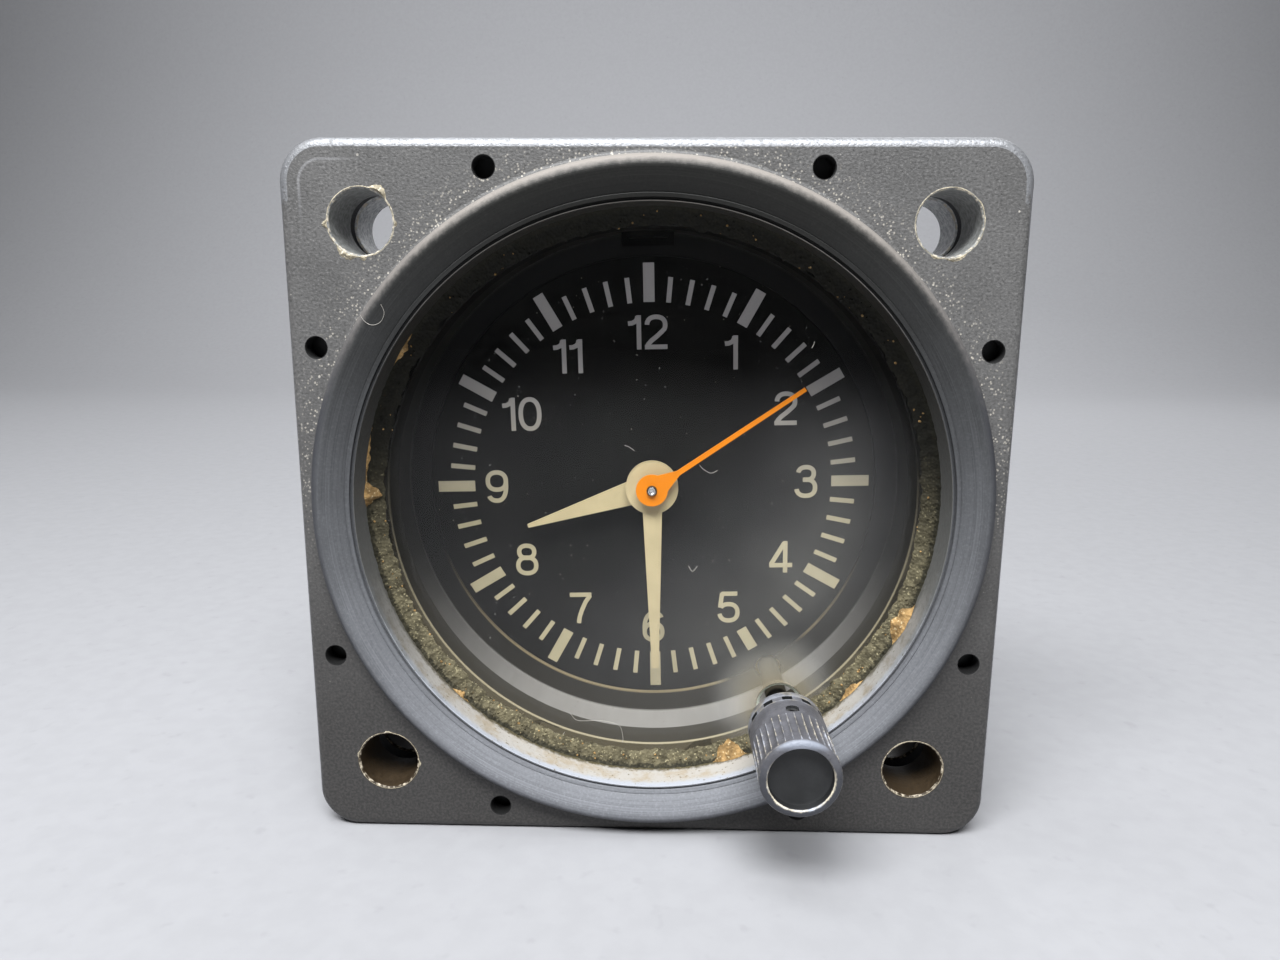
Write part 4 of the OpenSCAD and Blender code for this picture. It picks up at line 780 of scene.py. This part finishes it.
# Rear cover: turned disc with a raised rim and a hole for the connector
cover = Shape("rear_cover_plate")
cover_round = 0.4 * MM
cover_edge = 0.1 * MM
rim_in = can_r - 1.2 * MM
rim_slope = 0.2 * MM
cover_face = cover_high.y - 0.15 * MM
hole_r = connector_r + fit
outline = [(hole_r, cover_low.y, 0.0), (hole_r, cover_face, 0.0), (rim_in - rim_slope, cover_face, 0.0),
           (rim_in, cover_high.y, 0.4)]
outline += [(r, y, 0.5) for r, y in arc(can_r - cover_round, cover_high.y - cover_round, cover_round, 90, 0, 5)]
outline += [(can_r, cover_low.y + cover_edge, 0.2), (can_r - cover_edge, cover_low.y, 0.0)]
rounds = [cover.circle(r, y, wear=w) for r, y, w in outline]
cover.strips(rounds + rounds[:1])
cover.done([case_paint], ["rear_cover"])

# Bead of sealant round the glass: ragged inner edge, crumbs, and broken chips against the bore
bead = Shape("glass_seal_bead")
bead_n = 720
bead_in = bore_r - 1.5 * MM
bead_mid = bore_r - 0.6 * MM
bead_least = bore_r - 0.3 * MM
bead_top = glass_low.y
stem_clear = stem_r + 2.15 * MM
sections = []
for i in range(bead_n):
    a = 360 * i / bead_n
    p = polar(1.0, a)
    ragged = rough(p, 0.045, 1) * 0.28 + rough(p, 0.012, 2) * 0.2
    inner = bead_in + ragged * MM
    stem_gap = (polar(bead_mid, a) - Vector((stem_x, 0, stem_z))).length
    if stem_gap < stem_clear:
        inner = min(bead_least, inner + (stem_clear - stem_gap))
    rise = (bead_top - seal_low.y) * (1 + 0.35 * rough(p, 0.02, 3))
    sections.append([(r, bead_top - rise * share) for r, share in (
        (inner, 0.0), (inner + 0.15 * MM, 0.14), ((inner + bore_r) / 2, 0.36), (bore_r - 0.22 * MM, 0.7),
        (bore_r, 1.0), (bore_r, 0.0))])
loops = [bead.loop([polar(r, 360 * i / bead_n, y) for i, (r, y) in enumerate(row)]) for row in zip(*sections)]
bead.strips(loops + loops[:1])


def lump(shape, at, size, slot=0):
    """A small broken lump, sunk a little into what it lies on."""
    made = bmesh.ops.create_icosphere(shape.bm, subdivisions=1, radius=1.0)["verts"]
    turn = Matrix.Rotation(rng.uniform(0, 6.28), 3, Vector((rng.uniform(-1, 1), 1, rng.uniform(-1, 1))))
    for v in made:
        d = turn @ v.co
        v.co = Vector(at) + Vector((d.x * size[0], d.y * size[1], d.z * size[2])) * rng.uniform(0.7, 1.15)
        for f in v.link_faces:
            f.material_index = slot


SEAL, TAN = range(2)
crumbs = 520
tan_share = 0.2
# Every third crumb lies near the bottom
for i in range(crumbs):
    a = rng.uniform(0, 360) if i % 3 else rng.gauss(180, 55)
    section = sections[int(a % 360 / 360 * bead_n) % bead_n]
    inner, high = section[0][0], section[3][1]
    share = rng.random() ** 1.5
    r = inner + (bore_r - inner) * (0.02 + 0.9 * share)
    s = rng.uniform(0.05, 0.15) * MM
    y = bead_top - (bead_top - high) * min(1.0, share * 1.1)
    lump(bead, polar(r, a, y), (s, s * 0.7, s), TAN if rng.random() < tan_share else SEAL)
bead.done([finishes["sealant"], tan_chip], ["glass_seal"], 60)


def chip(shape, angle, width, reach, height, n=22):
    """A flat broken flake of old sealant that lies on the glass and leans on the bore."""
    top, foot = [], []
    for i in range(n):
        t = i / (n - 1) * 2 - 1
        a = angle + degrees(t * width / 2 / bore_r)
        fall = (1 - abs(t) ** 1.7) * (1 + 0.35 * rough((t * 3, angle, 0), 1.0, 5))
        top.append((a, bore_r - reach * max(fall, 0.06), bead_top - height * max(fall, 0.08) * 0.75))
        foot.append((a, bore_r - fit, seal_low.y - height * max(fall, 0.05)))
    middle = [(a, (r + foot_r) / 2, (y + foot_y) / 2 - 0.1 * MM * rough((i, angle, 1), 2.0))
              for i, ((a, r, y), (_, foot_r, foot_y)) in enumerate(zip(top, foot))]
    rows = [[(a, r, bead_top) for a, r, _ in top], top, middle, foot, [(a, r, bead_top) for a, r, _ in foot]]
    made = [shape.loop([polar(r, a, y) for a, r, y in row]) for row in rows]
    for a, b in zip(made, made[1:] + made[:1]):
        shape.strip(a, b, closed=False)
    for end in (0, -1):
        shape.bm.faces.new([row[end] for row in made])


chips = Shape("sealant_chips")
# Angle in degrees, then width, reach and height in mm
for angle, *sizes in ((302, 3.2, 0.55, 0.25), (278, 6.5, 0.35, 0.2), (271.5, 2.4, 1.15, 0.5), (115.5, 4.6, 1.0, 0.55),
                      (162.5, 3.4, 1.5, 0.35), (133, 3.0, 0.6, 0.3), (224, 2.2, 0.5, 0.2)):
    chip(chips, angle, *(size * MM for size in sizes))
chips.done([tan_chip], (), 30)

# Torn metal round the panel-screw holes
burrs = Shape("hole_burrs")


def burr(x, z, seed, spread, height, tears, n=120):
    """A thin torn rim round one hole. Each tear is (angle, half width in degrees, reach and rise in mm)."""
    rows = [[], [], []]
    for i in range(n):
        a = 360 * i / n
        p = polar(1.0, a)
        lift = height * (0.35 + 0.65 * abs(rough(p, 0.35, seed)))
        wide = spread * (0.4 + 0.9 * abs(rough(p, 0.25, seed + 3)))
        for at, half, reach, rise in tears:
            near = max(0.0, 1 - (abs((a - at + 180) % 360 - 180) / half) ** 2)
            wide += reach * MM * near * (0.6 + 0.6 * abs(rough(p, 0.09, seed + 5)))
            lift += rise * MM * near
        rows[0].append(polar(mount_r + rim_round * 0.5, a, rim_round * 0.6, x, z))
        rows[1].append(polar(mount_r + rim_round * 0.7 + wide * 0.35, a, -lift, x, z))
        rows[2].append(polar(mount_r + rim_round * 1.2 + wide, a, fit, x, z))
    loops = [burrs.loop(row) for row in rows]
    burrs.strips(loops + loops[:1])


burr(-mount_at, mount_at, 1, 0.07 * MM, 0.05 * MM,
     ((34, 17, 0.62, 0.2), (266, 6, 0.6, 0.18), (207, 19, 0.55, 0.15), (178, 6, 0.4, 0.14), (93, 6, 0.3, 0.1)))
burr(mount_at, mount_at, 4, 0.06 * MM, 0.04 * MM, ((165, 18, 0.35, 0.07), (200, 10, 0.2, 0.05), (60, 12, 0.1, 0.03)))
burr(-mount_at, -mount_at, 7, 0.06 * MM, 0.025 * MM, ((0, 7, 0.22, 0.03), (282, 7, 0.22, 0.03), (95, 7, 0.25, 0.03)))
burr(mount_at, -mount_at, 9, 0.04 * MM, 0.02 * MM, ((330, 30, 0.06, 0.02),))
burrs.done([torn_metal], (), 30)

# Setting knob: slotted collar, plain band with the set screw's hole, flutes, rim and recess
KNOB, DARK = range(2)
knob = Shape("setting_knob_cap")
flutes = 32
per_flute = 12
knob_n = flutes * per_flute
front_y, rear_y = knob_low.y, knob_high.y
knob_round = 0.42 * MM
recess_r = knob_r - 0.67 * MM
recess_y = front_y + 0.9 * MM
knob_bore_r = stem_r + fit
knob_bore_end = rear_y - 6.9 * MM
slot_rear, slot_front = rear_y - 1.05 * MM, rear_y - 1.65 * MM
slot_pitch, slot_wide, slot_start = 30, 14, -9.5
slot_deep = 0.8 * MM
screw_y = (set_low.y + set_high.y) / 2
screw_hole_r = (set_high.x - set_low.x) / 2 + 0.03 * MM
screw_hole_deep = 0.5 * MM
screw_rows = (0.62, 0.56, 0.52, 0.48, 0.36, 0.18)
flute_rear, flute_front = rear_y - 4.2 * MM, front_y + 0.5 * MM
flute_deep = 0.2 * MM
flute_steps = 7
sunk_r = knob_r - 0.35 * MM
sunk_near = 0.1 * MM


def knob_loop(r, y, wear=0.0, flute=0.0, slot=0.0):
    """One ring of the knob, cut in where a flute, a slot or the set screw's hole crosses it."""
    made = []
    for i in range(knob_n):
        a = 360 * i / knob_n
        crest = abs(2 * (i % per_flute) / per_flute - 1)
        depth = flute * sqrt(1 - crest * crest)
        if slot and (a - slot_start) % slot_pitch < slot_wide:
            depth += slot
        across = radians((a + 180) % 360 - 180) * knob_r
        if hypot(across, y - screw_y) < screw_hole_r:
            depth += screw_hole_deep
        made += knob.loop([polar(r - depth, a, y, stem_x, stem_z)], max(wear, 1.1 * crest - 0.36) if flute else wear)
    return made


loops = [knob_loop(knob_bore_r, rear_y)]
loops += [knob_loop(knob_r - inset * MM, rear_y - depth * MM, wear)
          for inset, depth, wear in ((0.32, 0.0, 0.6), (0.1, 0.06, 0.95), (0.02, 0.2, 0.9), (0.0, 0.34, 0.7))]
loops += [knob_loop(knob_r, y, wear, slot=slot) for y, wear, slot in (
    (slot_rear, 0.9, 0.0), (slot_rear - fit, 0.6, slot_deep), (slot_front, 0.6, slot_deep),
    (slot_front - fit, 0.9, 0.0), (slot_front - 0.25 * MM, 0.45, 0.0))]
loops += [knob_loop(knob_r, screw_y + d * MM, 0.3) for d in (*screw_rows, 0.0, *(-d for d in reversed(screw_rows)))]
for i in range(flute_steps + 1):
    s = i / flute_steps
    deep = flute_deep * min(1.0, 4 * s + 0.02, 4 * (1 - s) + 0.1)
    loops.append(knob_loop(knob_r, flute_rear + (flute_front - flute_rear) * s, flute=deep))
rounded = arc(knob_r - knob_round, front_y + knob_round, knob_round, 0, -90, 5)
loops += [knob_loop(r, y, wear) for (r, y), wear in zip(rounded, (0.45, 0.6, 0.5, 0.3, 0.2, 0.3))]
loops += [knob_loop(recess_r + 0.06 * MM, front_y, 0.75), knob_loop(recess_r, front_y + 0.08 * MM, 0.95)]
split = len(loops)
loops += [knob_loop(r, y, wear) for r, y, wear in (
    (recess_r - 0.03 * MM, front_y + 0.2 * MM, 0.5), (recess_r - 0.05 * MM, recess_y - 0.1 * MM, 0.0),
    (recess_r - 0.25 * MM, recess_y, 0.0), (recess_r * 0.5, recess_y + 0.06 * MM, 0.0))]
inner = [loops[0], knob_loop(knob_bore_r, knob_bore_end)]
knob.strips(loops[:split + 1], KNOB)
for dark in (loops[split:], inner):
    knob.strips(dark, DARK)
    knob.cap(dark[-1], DARK)
# Faces sunk into a slot or the set screw's hole take the dark finish as painted shade
for f in knob.bm.faces:
    sunk = any(hypot(v.co.x - stem_x, v.co.z - stem_z) < sunk_r for v in f.verts)
    y = f.calc_center_median().y
    if sunk and (slot_front - sunk_near < y < slot_rear + sunk_near or abs(y - screw_y) < screw_hole_r + sunk_near):
        f.material_index = DARK
knob.done([finishes["knob_paint"], finishes["knob_recess"]], ["knob"], 42, "setting_knob")

# Arbor tip: bright dimpled cap in a dark pressed ring
BUSH, CAP = range(2)
bush = Shape("second_hand_bush")
bush_n = 64
pin_r = 0.4 * MM
pin_y = arbor_low.y
bush_in, bush_out = pin_r + 0.01 * MM, pin_r + 0.09 * MM
bush_y = pin_y + 0.1 * MM
rounds = [bush.circle(r, y, n=bush_n) for r, y in (
    (bush_in, hub_low.y), (bush_out, hub_low.y), (bush_out, pin_y + 0.14 * MM), (pin_r + 0.06 * MM, bush_y),
    (bush_in, bush_y))]
bush.strips(rounds + rounds[:1], BUSH)
rounds = [bush.circle(r, pin_y + rise * MM, n=bush_n) for r, rise in (
    (pin_r, 0.2), (bush_in, 0.0), (pin_r - 0.06 * MM, -0.07), (pin_r * 0.6, -0.07), (pin_r * 0.44, -0.02),
    (pin_r * 0.2, -0.01))]
bush.strips(rounds, CAP)
bush.cap(rounds[-1], CAP)
bush.done([finishes["bush_dark"], finishes["tin_can"]], (), 30, "second_hand")

# Dial print: hour bars, minute ticks and plain numerals with flat-ended strokes; crossing strokes lie at slight steps
marks = Shape("dial_print")
dial_turn = radians(-1.4)
bar_out, bar_in, tick_out = dial_open - 0.6 * MM, dial_open - 4.2 * MM, dial_open - 1.85 * MM
bar_w, tick_w, stroke_w = 1.05 * MM, 0.45 * MM, 0.43 * MM
stroke_step = 0.003 * MM
short_bar = 25
# Middles of the numerals on the dial, half the width of a digit and of a one, and the gap between two, mm
numeral_at = {1: (7.72, 12.54), 2: (12.93, 7.13), 3: (14.95, -0.03), 4: (12.61, -7.61), 5: (7.43, -12.74),
              6: (-0.12, -14.73), 7: (-7.39, -12.68), 8: (-12.62, -7.56), 9: (-15.25, -0.09), 10: (-12.47, 7.0),
              11: (-7.82, 12.45), 12: (-0.155, 14.59)}
digit_half, one_half, digit_gap = 1.1, 0.615, 0.32


def on_dial(x, z, y):
    c, s = cos(dial_turn), sin(dial_turn)
    return Vector((x * c + z * s, y, z * c - x * s))


def ribbon(path, width, closed=False, lift=0.0):
    """A flat stroke along a path of (x, z), with square ends and mitred bends."""
    path = [Vector(p) for p in path]
    n = len(path)
    top = print_low.y - lift
    rows = []
    for i, p in enumerate(path):
        before = path[i - 1] if closed or i else None
        after = path[(i + 1) % n] if closed or i < n - 1 else None
        a = (p - before).normalized() if before else (after - p).normalized()
        b = (after - p).normalized() if after else a
        along = (a + b).normalized()
        side = Vector((-along.y, along.x)) * (width / 2 / max(0.5, along.dot(a)))
        rows.append(marks.loop([on_dial(*(p + side), top), on_dial(*(p - side), top),
                                on_dial(*(p - side), print_high.y), on_dial(*(p + side), print_high.y)]))
    for a, b in zip(rows, rows[1:] + rows[:1] if closed else rows[1:]):
        marks.strip(a, b)
    if not closed:
        marks.bm.faces.new(rows[0])
        marks.bm.faces.new(rows[-1])


def oval(x, z, rx, rz, a0, a1, steps=26, power=0.88):
    """Points on a squarish oval, in degrees anticlockwise from the right."""
    points = []
    for i in range(steps + 1):
        t = radians(a0 + (a1 - a0) * i / steps)
        c, s = cos(t), sin(t)
        points.append((x + rx * copysign(abs(c) ** power, c), z + rz * copysign(abs(s) ** power, s)))
    return points


def ring_path(x, z, rx, rz):
    return oval(x, z, rx, rz, 0, 360, 40)[:-1]


# Strokes of the digits, 3.2 high about their middles: those that close on themselves, and those with two ends
CLOSED = {
    0: [ring_path(0, 0, 0.9, 1.42)],
    6: [ring_path(0, -0.54, 0.89, 0.86)],
    8: [ring_path(0, 0.79, 0.75, 0.63), ring_path(0, -0.61, 0.9, 0.81)],
}
OPEN = {
    1: [[(0.4, 1.6), (0.4, -1.6)], [(-0.615, 0.84), (-0.25, 0.87), (0.05, 1.0), (0.22, 1.2), (0.3, 1.5)]],
    2: [oval(0, 0.66, 0.86, 0.76, 178, -28)
        + [(0.5, 0.0), (0.05, -0.4), (-0.45, -0.78), (-0.76, -1.12), (-0.88, -1.45)],
        [(-1.09, -1.385), (1.05, -1.385)]],
    3: [oval(0, 0.79, 0.75, 0.63, 172, -90), oval(0, -0.61, 0.9, 0.81, 90, -172), [(-0.3, 0.18), (0.05, 0.18)]],
    4: [[(0.42, 1.6), (0.42, -1.6)], [(-1.14, -0.84), (1.12, -0.84)], [(0.34, 1.45), (-1.0, -0.76)]],
    5: [[(-0.72, 1.385), (0.88, 1.385)], [(-0.64, 1.45), (-0.84, -0.05)], oval(0, -0.56, 0.9, 0.86, 146, -172)],
    6: [oval(0.03, -0.15, 0.92, 1.57, 186, 90) + oval(0.03, 0.77, 0.79, 0.65, 90, 14, 12)[1:]],
    7: [[(-1.08, 1.385), (1.08, 1.385)], [(0.96, 1.3), (0.5, 0.66), (0.1, -0.2), (-0.16, -0.95), (-0.26, -1.6)]],
}
for strokes in (CLOSED, OPEN):
    strokes[9] = [[(-x, -z) for x, z in path] for path in strokes[6]]

for i in range(60):
    hour = i % 5 == 0
    outer = bar_out if hour and i != short_bar else tick_out
    a = radians(6 * i)
    ribbon([(sin(a) * r, cos(a) * r) for r in (bar_in, outer)], bar_w if hour else tick_w)
for number, (x, z) in numeral_at.items():
    digits = [int(c) for c in str(number)]
    halves = [one_half if d == 1 else digit_half for d in digits]
    left = x - sum(halves) - digit_gap / 2 * (len(halves) - 1)
    for digit, half in zip(digits, halves):
        strokes = [(p, True) for p in CLOSED.get(digit, ())] + [(p, False) for p in OPEN.get(digit, ())]
        for k, (path, closed) in enumerate(strokes):
            placed = [((left + half + px) * MM, (z + pz) * MM) for px, pz in path]
            ribbon(placed, stroke_w, closed, stroke_step * k)
        left += 2 * half + digit_gap
marks.done([finishes["cream_print"]], ["dial_markings"], 30)

# Dust fibres that lie on the glass and the ring
fibres = Shape("dust_fibres")
fibre_r = 0.02 * MM
fibre_steps = 6
fibre_sides = 6


def fibre(points):
    """A thin hair through points of (x, z) in mm on the front of the glass or of the ring."""
    path = [Vector((x, 0.0, z)) * MM for x, z in points]
    for p in path:
        out = hypot(p.x, p.z)
        p.y = (ring_face(out) if out > bore_r else glass_low.y) - fibre_r
    ends = [path[0] * 2 - path[1]] + path + [path[-1] * 2 - path[-2]]
    line = []
    for a, b, c, d in zip(ends, ends[1:], ends[2:], ends[3:]):
        for k in range(fibre_steps):
            t = k / fibre_steps
            line.append(0.5 * (2 * b + (c - a) * t + (2 * a - 5 * b + 4 * c - d) * t * t
                               + (3 * b - a - 3 * c + d) * t ** 3))
    line.append(path[-1])
    rows = []
    for i, p in enumerate(line):
        along = (line[min(i + 1, len(line) - 1)] - line[max(i - 1, 0)]).normalized()
        side = along.cross(Vector((0, 1, 0)))
        thin = fibre_r * (0.5 if i in (0, len(line) - 1) else 1.0)
        rows.append(fibres.loop([p + thin * (side * cos(t) + Vector((0, sin(t), 0)))
                                 for t in (radians(360 / fibre_sides * j) for j in range(fibre_sides))]))
    fibres.strips(rows)
    fibres.bm.faces.new(rows[0])
    fibres.bm.faces.new(rows[-1])


for points in (
        ((-2.36, 5.08), (-1.96, 4.95), (-1.48, 4.60)),
        ((4.21, 3.44), (4.46, 3.10), (5.20, 2.70), (5.81, 2.96)),
        ((3.36, -5.73), (3.75, -6.25), (4.19, -5.72)),
        ((13.54, 13.57), (13.67, 13.84), (13.75, 14.12)),
        ((-7.46, -19.93), (-6.68, -20.76), (-4.86, -20.73), (-3.81, -20.85), (-2.77, -21.25), (-2.46, -22.37),
         (-2.51, -22.93)),
        ((-8.19, -22.46), (-8.00, -22.15), (-7.86, -21.90)),
        ((-23.42, 16.27), (-23.13, 15.72), (-22.58, 15.40), (-21.91, 15.64), (-21.55, 16.36), (-21.76, 17.07))):
    fibre(points)
fibres.done([finishes["fibre_grey"]], (), 60)

# Camera at the photograph's viewpoint; the image is taken as 1280 by 960
focal_px, image_w = 890.0, 1280.0
yaw, pitch, roll = 0.024, -0.193, -0.005
eye = Vector((0.849, -73.757, 17.007)) * MM
turn = Matrix.Rotation(yaw, 3, "Z") @ Matrix.Rotation(pitch, 3, "X") @ Matrix.Rotation(roll, 3, "Y")
view = Matrix((turn.col[0], turn.col[2], -turn.col[1])).transposed().to_4x4()
camera_data = bpy.data.cameras.new("camera")
camera_data.sensor_width = 36.0
camera_data.lens = focal_px / image_w * camera_data.sensor_width
camera_data.clip_start = 2 * MM
camera = put("camera", camera_data)
camera.matrix_world = Matrix.Translation(eye) @ view
scene.camera = camera

# Pale floor that sweeps up into a backdrop
sweep = Shape("floor")
floor_z = cad_low.z
floor_front, floor_half = -0.9, 1.6
bend_y, bend_r = 0.42, 0.3
backdrop_top = 1.1
path = [(floor_front, 0.0)] + arc(bend_y, bend_r, bend_r, -90, 0, 9) + [(bend_y + bend_r, backdrop_top)]
rows = [sweep.loop([(x, y, floor_z + z) for x in (-floor_half, floor_half)]) for y, z in path]
for a, b in zip(rows, rows[1:]):
    sweep.strip(a, b, closed=False)
floor = sweep.make([finishes["floor_paint"]])


# Soft studio light
def softbox(name, at, aim, size, power, colour=(0.97, 0.985, 1.0), spread=180):
    data = bpy.data.lights.new(name, "AREA")
    data.shape = "RECTANGLE"
    data.size, data.size_y = size
    data.energy = power
    data.color = colour
    data.spread = radians(spread)
    lamp = put(name, data)
    lamp.location = at
    lamp.rotation_mode = "QUATERNION"
    lamp.rotation_quaternion = (Vector(aim) - Vector(at)).to_track_quat("-Z", "Y")
    lamp.visible_camera = False


softbox("top", (-0.02, -0.04, 0.4), (0.0, -0.015, 0.0), (0.32, 0.12), 0.81, (0.95, 0.975, 1.0))
softbox("key", (-0.04, -0.2, 0.31), (0.0, -0.005, 0.0), (0.36, 0.12), 3.06)
softbox("back", (0.0, 0.3, 0.5), (0.0, 0.62, 0.05), (0.9, 0.4), 2.35, spread=130)
softbox("rear", (0.14, 0.42, 0.3), (0.0, 0.05, 0.0), (0.3, 0.2), 0.5)
world = bpy.data.worlds.new("studio")
scene.world = world
world.use_nodes = True
background = world.node_tree.nodes["Background"]
background.inputs["Color"].default_value = (0.5, 0.51, 0.53, 1.0)
background.inputs["Strength"].default_value = 0.055
scene.view_settings.view_transform = "Standard"
